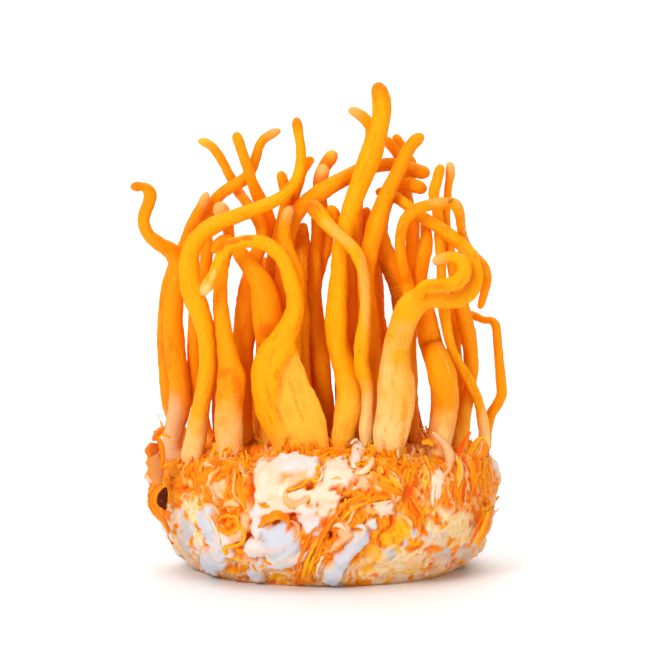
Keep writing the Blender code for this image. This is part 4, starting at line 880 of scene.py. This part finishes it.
# Edge flakes: the ragged fringe that stands up all round the block's upper edge.
source = np.random.default_rng(73)
total = 900
angle = source.uniform(0.0, 360.0, total)
run = np.interp(source.uniform(19.5, 25.8, total), outline[:, 2], outline_run)
at, out = block_surface(angle, run)
lift, tone_there, wool = felt(at)
calm = 0.45 * ease(-at[:, 0], 3.0, 9.0) * (at[:, 1] < 0)
kept = source.uniform(0.0, 1.0, total) < wool * (0.95 - calm)
angle, at, out, lift, tone_there = angle[kept], at[kept], out[kept], lift[kept], tone_there[kept]
total = len(at)
turn = np.radians(angle)
level = np.stack([np.cos(turn), np.sin(turn), np.full(total, 0.25)], axis=1)
way = climbing(source, level, 0.55)
flakes(
    "felt_edge_flakes", at + out * lift[:, None], level, way,
    source.uniform(0.8, 2.9, total), source.uniform(0.22, 0.75, total),
    source.uniform(-0.25, 0.4, total), source.normal(-0.2, 0.6, total), 74,
    grown(tone_there, toned(source, total, RIPE + RIPE + PALE_RIPE)),
)

# Collars: the felt climbs a little way up the foot of every stem.
source = np.random.default_rng(75)
feet, outs = [], []
for name in stem_names:
    if name == "stem_right_hook":
        continue
    rings = rings_of(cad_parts[name], (0, 0, 1))
    centres = np.array([centre for centre, _ in rings]) / MM
    girths = np.array([np.linalg.norm(around - centre, axis=1).mean() for centre, around in rings]) / MM
    reach = np.hypot(centres[:, 0], centres[:, 1])
    top = np.interp(reach, outline[::-1, 0], outline[::-1, 2])
    clear = int(np.argmax(centres[:, 2] > top + 0.2))
    one = max(clear, 1)
    step = centres[one, 2] - centres[one - 1, 2] + 1e-9
    share = np.clip((top[one] + 0.2 - centres[one - 1, 2]) / step, 0.0, 1.0)
    foot = centres[one - 1] + (centres[one] - centres[one - 1]) * share
    girth = girths[one - 1] + (girths[one] - girths[one - 1]) * share
    count = int(8 + 5 * girth)
    turn = 2 * math.pi * (np.arange(count) + source.uniform(-0.4, 0.4, count)) / count
    round_it = np.stack([np.cos(turn), np.sin(turn), 0 * turn], axis=1)
    raised = np.array((0, 0, 1.0)) * source.uniform(-1.0, 0.4, (count, 1))
    feet.append(foot + round_it * (girth + 0.15) + raised)
    outs.append(round_it + np.array((0, 0, 0.2)))
feet, outs = np.concatenate(feet), np.concatenate(outs)
total = len(feet)
way = climbing(source, outs, 0.4)
flakes(
    "felt_collars", feet, outs, way, source.uniform(1.2, 3.0, total), source.uniform(0.3, 0.9, total),
    source.uniform(-0.05, 0.35, total), source.normal(0.1, 0.5, total), 76, toned(source, total, RIPE),
)

# Folded strips of the felt: the lips, curls and strands that can be told apart in the front view. Each is one
# soft tongue that follows a course over the block.

front_skin = skin[plain[:, 1] < -16.0]
front_out = outward[plain[:, 1] < -16.0]
front_across, front_up = front_view(front_skin)


def on_block(across, up):
    """The places on the block's front, or level with it, that show at across and up, and their normals."""
    places, normals = [], []
    for a, u in zip(across, up):
        far = (front_across - a) ** 2 + (front_up - u) ** 2
        near = np.argpartition(far, 14)[:14]
        weight = 1.0 / (far[near] + 0.05)
        weight /= weight.sum()
        place = weight @ front_skin[near]
        miss = (a - weight @ front_across[near], u - weight @ front_up[near])
        places.append(place + np.array((miss[0], 0.0, miss[1])))
        normals.append(weight @ front_out[near])
    return np.array(places), np.array(normals)


def strips(name, courses, seed):
    """Soft tongues, each of (thickness, middle tone, edge tone, course). A course's stations are
    (across, up, off the block, half width, stand in degrees)."""
    source = np.random.default_rng(seed)
    sides = 12
    around = 2 * math.pi * np.arange(sides) / sides
    every, faces, shades, base = [], [], [], 0
    for thick, middle, edge, stations in courses:
        rows = smooth_line(stations, 0.30)
        count = len(rows)
        place, normal = on_block(rows[:, 0], rows[:, 1])
        kernel = np.ones(5) / 5
        for column in range(3):
            padded = np.pad(place[:, column], 2, mode="edge")
            place[:, column] = np.convolve(padded, kernel, mode="valid")
        normal /= np.linalg.norm(normal, axis=1)[:, None]
        heading = np.gradient(place, axis=0)
        heading /= np.linalg.norm(heading, axis=1)[:, None] + 1e-9
        flat = np.cross(heading, normal)
        flat /= np.linalg.norm(flat, axis=1)[:, None] + 1e-9
        lift = np.cross(flat, heading)
        stand = np.radians(rows[:, 4:5])
        wide = flat * np.cos(stand) + lift * np.sin(stand)
        deep = np.cross(heading, wide)
        ripple = 1.0 + 0.10 * waves(np.arange(count) * 0.3, seed + base, 2.6)
        ends = np.sin(math.pi * (0.08 + 0.84 * np.linspace(0, 1, count))) ** 0.4
        half = (rows[:, 3] * ripple * ends)[:, None]
        centre = place + normal * (0.55 * rows[:, 2:3] - 0.1)
        cup = source.uniform(0.15, 0.5)
        sheet = cup * np.cos(around)[None, :] ** 2 * half
        ruffle = 0.12 * waves(np.arange(count) * 0.3, seed + base + 9, 1.7)[:, None] * np.cos(around)[None, :]
        body = (
            centre[:, None]
            + wide[:, None] * (half * np.cos(around)[None, :])[..., None]
            + deep[:, None] * (thick * ends[:, None] * np.sin(around)[None, :] + sheet + ruffle)[..., None]
        )
        rim = np.abs(np.cos(around)) ** 4
        paint = np.array(middle)[:3] * (1 - rim[:, None]) + np.array(edge)[:3] * rim[:, None]
        every.append(body.reshape(-1, 3))
        shades.append(np.tile(paint, (count, 1)))
        faces += tube_faces(count, sides, base, inward=True)
        base += count * sides
    points = np.concatenate(every)
    points[:, 2] = np.maximum(points[:, 2], 0.1)
    return felt_piece(name, points, faces, np.concatenate(shades))


TAN = colour(214, 140, 74)
SLAB = colour(206, 92, 10)
# Painted shade: the dark tone of the strip that stands for the hole behind the side loop.
HOLE_SHADE = colour(84, 20, 0)
# The mouth in the large white fold, and the curled edges of the young folds beside it.
strips("felt_lips", [
    (0.34, PEACH, GOLD, [(-8.1, 15.4, 0.2, 0.3, 50), (-8.2, 13.7, 0.7, 0.8, 30), (-6.2, 12.7, 0.9, 0.9, 15),
        (-4.1, 13.8, 0.7, 0.7, 30), (-3.4, 15.6, 0.0, 0.3, 50)]),
    (0.30, GOLD, AMBER, [(-8.5, 15.5, 0.3, 0.3, 30), (-6.2, 15.8, 0.6, 0.5, 40), (-4.5, 16.8, 0.6, 0.5, 40),
        (-3.3, 17.7, 0.6, 0.5, 20), (-2.1, 16.9, 0.5, 0.5, 20), (-1.4, 18.0, 0.2, 0.3, 20)]),
    (0.26, IVORY, GOLD, [(-2.8, 20.7, 0.2, 0.3, 40), (-1.3, 19.8, 0.5, 0.4, 50), (-0.8, 18.3, 0.6, 0.4, 50),
        (-2.0, 17.0, 0.4, 0.3, 50), (-3.0, 17.3, 0.0, 0.2, 50)]),
    (0.24, IVORY, GOLD, [(0.7, 17.6, 0.4, 0.2, 40), (1.8, 18.2, 0.6, 0.4, 40), (3.0, 17.6, 0.3, 0.2, 40)]),
    (0.36, AMBER, GOLD, [(-13.9, 7.8, 0.2, 0.4, 10), (-12.1, 9.8, 0.8, 0.9, 20), (-9.8, 10.9, 1.2, 1.2, 30),
        (-8.0, 9.9, 0.9, 0.9, 30), (-7.8, 8.0, 0.3, 0.3, 20)]),
    (0.28, PEACH, AMBER, [(-7.8, 9.4, 0.3, 0.3, 20), (-6.0, 8.7, 0.6, 0.6, 30), (-5.7, 6.6, 0.6, 0.5, 30),
        (-6.9, 4.8, 0.2, 0.3, 20)]),
    (0.26, AMBER, GOLD, [(-13.9, 13.2, 0.2, 0.2, 20), (-12.6, 12.2, 0.5, 0.4, 20),
        (-11.2, 12.4, 0.2, 0.2, 20)]),
    (0.35, WHITE, GOLD, [(4.6, 24.4, 0.6, 0.5, 20), (5.8, 25.2, 1.2, 1.2, 20), (6.4, 23.4, 1.2, 1.3, 10),
        (5.6, 21.2, 1.2, 1.3, 10), (5.4, 19.4, 1.0, 0.9, 10)]),
    (0.35, IVORY, GOLD, [(5.4, 18.6, 0.8, 0.7, 10), (7.0, 18.8, 1.0, 1.1, 20), (8.6, 20.4, 1.0, 0.9, 30),
        (9.0, 22.2, 0.6, 0.5, 30)]),
    (0.24, GOLD, AMBER, [(8.9, 23.0, 0.2, 0.3, 40), (8.0, 21.6, 0.6, 0.6, 40), (6.8, 21.0, 0.8, 0.4, 40)]),
    (0.24, GOLD, AMBER, [(-1.9, 21.3, 0.3, 0.4, 20), (-0.5, 22.4, 0.6, 0.6, 30), (1.2, 23.0, 0.6, 0.2, 30)]),
    (0.30, IVORY, AMBER, [(0.9, 8.1, 0.3, 0.3, 20), (2.4, 8.7, 0.6, 0.6, 30), (3.8, 7.2, 0.4, 0.3, 30)]),
    (0.30, WHITE, PEACH, [(5.6, 8.2, 0.4, 0.3, 20), (7.1, 8.4, 0.6, 0.6, 30), (7.9, 6.8, 0.3, 0.3, 30)]),
    (0.30, PEACH, AMBER, [(0.5, 3.0, 0.4, 0.4, 20), (2.1, 5.0, 0.8, 0.8, 35), (5.2, 6.6, 0.5, 0.4, 30)]),
    (0.28, AMBER, EMBER_AND_SHADE, [(-1.6, 3.2, 0.3, 0.3, 10), (0.0, 2.4, 0.7, 0.7, 20), (1.4, 2.0, 0.2, 0.2, 10)]),
], 81)
# The curl at the left, with the bright ribbon that winds down from it.
strips("felt_curl", [
    (0.42, AMBER, GOLD, [(-22.0, 9.2, 0.3, 0.3, 20), (-21.2, 7.7, 0.8, 0.6, 45), (-19.3, 7.2, 1.0, 0.7, 55),
        (-17.8, 8.2, 1.1, 0.7, 55), (-17.8, 9.7, 1.1, 0.6, 55), (-19.4, 10.3, 1.0, 0.6, 45),
        (-21.3, 9.9, 0.8, 0.4, 45)]),
    (0.36, GOLD, AMBER, [(-17.2, 8.6, 0.7, 0.4, 30), (-16.4, 6.5, 0.8, 0.6, 30), (-17.1, 4.8, 0.8, 0.5, 40),
        (-19.0, 4.3, 0.8, 0.5, 40), (-20.5, 3.9, 0.8, 0.5, 30), (-20.1, 2.8, 0.7, 0.6, 20),
        (-18.3, 1.9, 0.6, 0.7, 20), (-16.2, 1.2, 0.3, 0.4, 10)]),
    (0.34, PEACH, AMBER, [(-25.0, 11.2, 0.3, 0.4, 20), (-23.9, 12.5, 0.8, 0.7, 30),
        (-22.4, 12.1, 0.8, 0.6, 40), (-21.3, 10.4, 0.4, 0.4, 30)]),
    (0.24, IVORY, GOLD, [(-23.4, 10.4, 0.9, 0.3, 20), (-22.0, 7.6, 1.0, 0.4, 40),
        (-21.2, 4.4, 0.9, 0.3, 30)]),
    (0.22, AMBER, GOLD, [(-15.1, 0.8, 0.3, 0.2, 10), (-14.0, -1.0, 0.5, 0.3, 10)]),
    (0.26, AMBER, AMBER, [(-16.0, -0.4, 0.3, 0.3, 10), (-16.3, -2.8, 0.4, 0.3, 10)]),
    (0.30, EMBER_AND_SHADE, AMBER, [(-18.4, -2.6, 0.3, 0.4, 10), (-15.6, -3.2, 0.4, 0.5, 10)]),
    (0.24, AMBER, GOLD, [(-12.8, 1.4, 0.3, 0.3, 10), (-11.0, 0.6, 0.5, 0.4, 10)]),
    (0.30, PEACH, AMBER, [(-22.6, 17.2, 0.4, 0.4, 30), (-21.6, 15.2, 0.8, 0.9, 40),
        (-20.6, 13.6, 0.5, 0.4, 40)]),
    (0.30, PEACH, GOLD, [(-20.8, 12.4, 0.4, 0.5, 20), (-19.0, 13.1, 0.8, 0.8, 30),
        (-17.4, 12.2, 0.5, 0.5, 30)]),
    (0.30, AMBER, GOLD, [(-18.0, 16.0, 0.4, 0.4, 30), (-16.6, 13.6, 0.7, 0.7, 40),
        (-16.0, 10.8, 0.5, 0.4, 40)]),
], 82)
# The strands that run down between the white folds, and the deep band beside them.
strips("felt_strands", [
    (0.26, AMBER, EMBER_AND_SHADE, [(-1.6, 8.7, 0.2, 0.3, 20), (-3.6, 6.0, 0.7, 0.4, 30), (-5.0, 2.6, 0.8, 0.4, 20),
        (-6.6, -1.8, 0.4, 0.3, 10)]),
    (0.26, GOLD, AMBER, [(-0.6, 7.4, 0.2, 0.3, 20), (-2.4, 4.6, 0.9, 0.4, 30), (-4.0, 1.2, 1.0, 0.45, 20),
        (-5.0, -2.4, 0.4, 0.3, 10)]),
    (0.24, GOLD, AMBER, [(-0.9, 4.6, 0.3, 0.3, 20), (-2.6, 2.0, 0.9, 0.45, 30), (-3.8, -1.8, 0.5, 0.3, 10)]),
    (0.22, IVORY, GOLD, [(-0.2, 3.4, 0.3, 0.3, 20), (-1.6, 0.8, 0.9, 0.35, 30), (-2.6, -2.4, 0.5, 0.2, 10)]),
    (0.34, AMBER, EMBER_AND_SHADE, [(5.6, 14.0, 0.1, 0.3, 20), (2.9, 11.7, 0.9, 0.5, 30), (0.6, 8.9, 1.2, 0.6, 30),
        (-1.0, 6.0, 1.2, 0.6, 20), (-2.3, 2.8, 0.9, 0.4, 10), (-3.6, 0.4, 0.4, 0.2, 10)]),
    (0.24, AMBER, GOLD, [(6.8, 14.3, 0.2, 0.3, 20), (3.8, 12.8, 0.8, 0.4, 30), (1.5, 10.4, 1.0, 0.35, 30)]),
    (0.24, GOLD, AMBER, [(8.4, 13.2, 0.3, 0.3, 20), (5.0, 11.6, 0.8, 0.35, 30), (2.6, 9.2, 0.7, 0.25, 20)]),
    (0.24, GOLD, IVORY, [(13.5, -0.9, 0.2, 0.3, 10), (16.4, -0.9, 0.6, 0.4, 10), (18.7, 0.3, 0.6, 0.4, 10),
        (20.2, 2.3, 0.3, 0.2, 10)]),
], 83)
# The red-orange heart at the right, with the tongues that spread from it.
strips("felt_heart", [
    (0.30, AMBER, GOLD, [(15.2, 14.6, 0.2, 0.5, 20), (12.0, 15.6, 0.8, 0.8, 30), (9.3, 17.3, 0.4, 0.3, 20)]),
    (0.28, GOLD, IVORY, [(15.4, 15.4, 0.2, 0.5, 20), (13.5, 17.0, 0.8, 0.8, 30), (12.4, 18.8, 0.4, 0.3, 20)]),
    (0.28, EMBER_AND_SHADE, AMBER, [(16.8, 15.4, 0.2, 0.4, 20), (17.6, 17.4, 0.6, 0.5, 30),
        (17.4, 19.4, 0.3, 0.3, 20)]),
    (0.30, EMBER_AND_SHADE, AMBER, [(16.6, 14.0, 0.2, 0.5, 20), (17.6, 11.6, 0.7, 0.7, 30), (19.2, 9.4, 0.3, 0.3, 20)]),
    (0.28, IVORY, GOLD, [(13.0, 13.4, 0.2, 0.4, 20), (10.6, 12.6, 0.6, 0.6, 30), (8.9, 12.9, 0.3, 0.3, 20)]),
    (0.34, PEACH, AMBER, [(23.3, 17.2, 0.3, 0.4, 30), (23.8, 19.2, 0.9, 0.8, 40), (24.4, 21.6, 1.1, 1.1, 40),
        (23.8, 24.0, 1.0, 1.1, 40), (22.4, 25.7, 0.8, 0.9, 40), (20.9, 27.0, 0.6, 0.5, 40)]),
    (0.60, AMBER, GOLD, [(18.8, 24.8, 0.3, 0.7, 0), (20.4, 25.1, 0.6, 0.7, 0), (21.4, 24.2, 0.3, 0.5, 0)]),
    (0.30, GOLD, IVORY, [(19.4, 15.4, 0.3, 0.4, 30), (19.6, 18.4, 0.7, 0.7, 40), (19.0, 21.6, 0.5, 0.4, 30)]),
    (0.30, GOLD, IVORY, [(26.2, 16.0, 0.3, 0.4, 30), (26.4, 19.0, 0.7, 0.8, 40), (26.0, 22.4, 0.6, 0.6, 30)]),
    (0.30, AMBER, GOLD, [(29.0, 15.2, 0.3, 0.4, 30), (29.2, 18.4, 0.7, 0.6, 40), (28.6, 22.4, 0.6, 0.5, 30)]),
    (0.26, IVORY, AMBER, [(21.2, 12.0, 0.2, 0.3, 30), (21.0, 14.6, 0.5, 0.5, 40),
        (21.8, 17.0, 0.3, 0.3, 30)]),
    (0.26, EMBER_AND_SHADE, AMBER, [(24.8, 13.2, 0.2, 0.2, 30), (25.0, 14.9, 0.4, 0.3, 40),
        (25.4, 16.6, 0.2, 0.2, 30)]),
    (0.26, EMBER_AND_SHADE, AMBER, [(27.4, 12.8, 0.2, 0.2, 30), (27.3, 14.9, 0.4, 0.3, 40),
        (27.8, 16.8, 0.2, 0.2, 30)]),
    (0.34, EMBER_AND_SHADE, AMBER, [(26.2, 22.0, 0.4, 0.5, 30), (27.2, 24.6, 0.8, 0.7, 50),
        (28.7, 27.2, 0.6, 0.3, 30)]),
    (0.34, AMBER, GOLD, [(28.2, 22.2, 0.4, 0.5, 30), (29.6, 25.0, 0.9, 0.8, 50), (31.0, 25.8, 0.8, 0.6, 40),
        (31.9, 24.2, 0.3, 0.3, 30)]),
    (0.34, AMBER, EMBER_AND_SHADE, [(30.0, 21.6, 0.4, 0.5, 30), (31.5, 23.2, 0.7, 0.7, 50),
        (31.6, 25.6, 0.4, 0.3, 30)]),
    (0.45, AMBER, GOLD, [(32.5, 11.2, 0.2, 0.5, 10), (31.5, 8.3, 0.5, 0.9, 20), (29.9, 4.4, 0.2, 0.4, 10)]),
    (0.34, EMBER_AND_SHADE, AMBER, [(31.2, 10.4, 0.1, 0.3, 10), (30.1, 7.6, 0.3, 0.5, 20), (28.8, 4.8, 0.1, 0.3, 10)]),
    (0.24, PEACH, AMBER, [(26.6, 5.8, 0.1, 0.2, 10), (25.2, 4.0, 0.3, 0.4, 20), (23.8, 2.0, 0.1, 0.2, 10)]),
], 84)
# The torn flaps that hang off the left side, with a loop; the hole behind it is a dark strip of painted
# shade.
strips("felt_side_flaps", [
    (0.40, HOLE_SHADE, HOLE_SHADE, [(-32.4, 16.2, -0.2, 0.5, 90), (-32.9, 14.6, -0.2, 1.1, 90),
        (-33.1, 13.0, -0.2, 1.2, 90), (-32.4, 11.4, -0.2, 0.5, 90)]),
    (0.70, AMBER, EMBER_AND_SHADE, [(-33.0, 16.8, 0.2, 0.4, 70), (-34.4, 15.4, 0.6, 0.45, 80),
        (-35.0, 13.4, 0.8, 0.5, 80), (-34.2, 11.2, 0.6, 0.5, 75), (-32.8, 9.6, 0.3, 0.5, 60),
        (-31.8, 7.0, 0.2, 0.5, 40), (-31.0, 4.4, 0.1, 0.3, 30)]),
    (0.60, TAN, AMBER, [(-34.2, 22.9, 0.3, 1.9, 90), (-34.0, 20.8, 0.4, 2.1, 90), (-33.8, 18.6, 0.4, 1.8, 90),
        (-33.5, 16.4, 0.2, 1.2, 90)]),
    (0.50, SLAB, AMBER, [(-34.5, 25.1, 0.2, 1.4, 90), (-34.7, 24.0, 0.3, 1.5, 90),
        (-34.6, 22.6, 0.3, 1.5, 90), (-34.4, 20.2, 0.1, 1.2, 90)]),
    (0.40, AMBER, TAN, [(-34.9, 25.2, 0.2, 0.5, 60), (-34.3, 26.4, 0.3, 1.0, 70), (-33.4, 27.6, 0.3, 0.8, 60),
        (-32.2, 28.2, 0.3, 0.5, 60)]),
    (0.36, AMBER, EMBER_AND_SHADE, [(-34.4, 27.6, 0.2, 0.5, 60), (-33.4, 25.2, 0.3, 0.6, 60),
        (-32.9, 22.6, 0.2, 0.6, 60), (-33.2, 19.6, 0.2, 0.5, 60)]),
    (0.30, AMBER, GOLD, [(-33.9, 25.9, 0.3, 0.4, 20), (-32.6, 26.6, 0.5, 0.5, 20),
        (-31.2, 25.8, 0.3, 0.3, 20)]),
    (0.12, AMBER, PEACH, [(-33.8, 30.8, 0.2, 0.10, 0), (-33.4, 29.6, 0.2, 0.14, 0),
        (-32.7, 27.6, 0.2, 0.2, 0)]),
    (0.60, WHITE, WHITE, [(-32.9, 9.4, 0.0, 0.4, 80), (-32.1, 7.2, 0.1, 0.6, 80),
        (-30.9, 5.0, 0.0, 0.4, 80)]),
], 85)

# The floor, the light and the camera: a plain pale studio.

floor_mesh = bpy.data.meshes.new("floor")
floor_mesh.from_pydata([(-3, -3, 0), (3, -3, 0), (3, 3, 0), (-3, 3, 0)], [], [(0, 1, 2, 3)])
floor = placed("floor", floor_mesh)
paper = Nodes("pale_floor")
paper.shader.inputs["Base Color"].default_value = (0.9, 0.9, 0.9, 1.0)
paper.shader.inputs["Roughness"].default_value = 0.55
floor_mesh.materials.append(paper.material)

world = bpy.data.worlds.new("studio")
world.use_nodes = True
world.node_tree.nodes["Background"].inputs["Color"].default_value = (1.0, 1.0, 1.0, 1.0)
world.node_tree.nodes["Background"].inputs["Strength"].default_value = 0.22
bpy.context.scene.world = world


def softbox(name, place, aim, size, power):
    """A square soft light at a place in metres, aimed at a point."""
    light = bpy.data.lights.new(name, "AREA")
    light.shape = "SQUARE"
    light.size = size
    light.energy = power
    lamp = placed(name, light)
    lamp.location = place
    direction = np.array(aim) - np.array(place)
    from_above = math.atan2(math.hypot(direction[0], direction[1]), -direction[2])
    lamp.rotation_euler = (from_above, 0.0, math.atan2(-direction[0], direction[1]))


softbox("key_light", (-0.50, -0.85, 0.60), (0, 0, 0.05), 0.45, 7.6)
softbox("fill_light", (0.70, -0.80, 0.30), (0, 0, 0.05), 0.6, 2.6)
softbox("top_light", (0.0, 0.3, 2.2), (0, 0.3, 0.0), 2.6, 42.0)
softbox("far_light", (0.0, 2.6, 1.5), (0, 2.6, 0.0), 2.6, 60.0)

FIELD_WIDTH = 0.134
camera = placed("camera", bpy.data.cameras.new("camera"))
camera.data.sensor_width = 36.0
camera.data.lens = 36.0 * SIGHT * MM / FIELD_WIDTH
camera.data.clip_start = 0.05
camera.location = (-0.0002, -SIGHT * MM * math.cos(LOOK_DOWN), 0.0469 + SIGHT * MM * math.sin(LOOK_DOWN))
camera.rotation_euler = (math.pi / 2 - LOOK_DOWN, 0.0, 0.0)
bpy.context.scene.camera = camera
bpy.context.scene.view_settings.view_transform = "Standard"
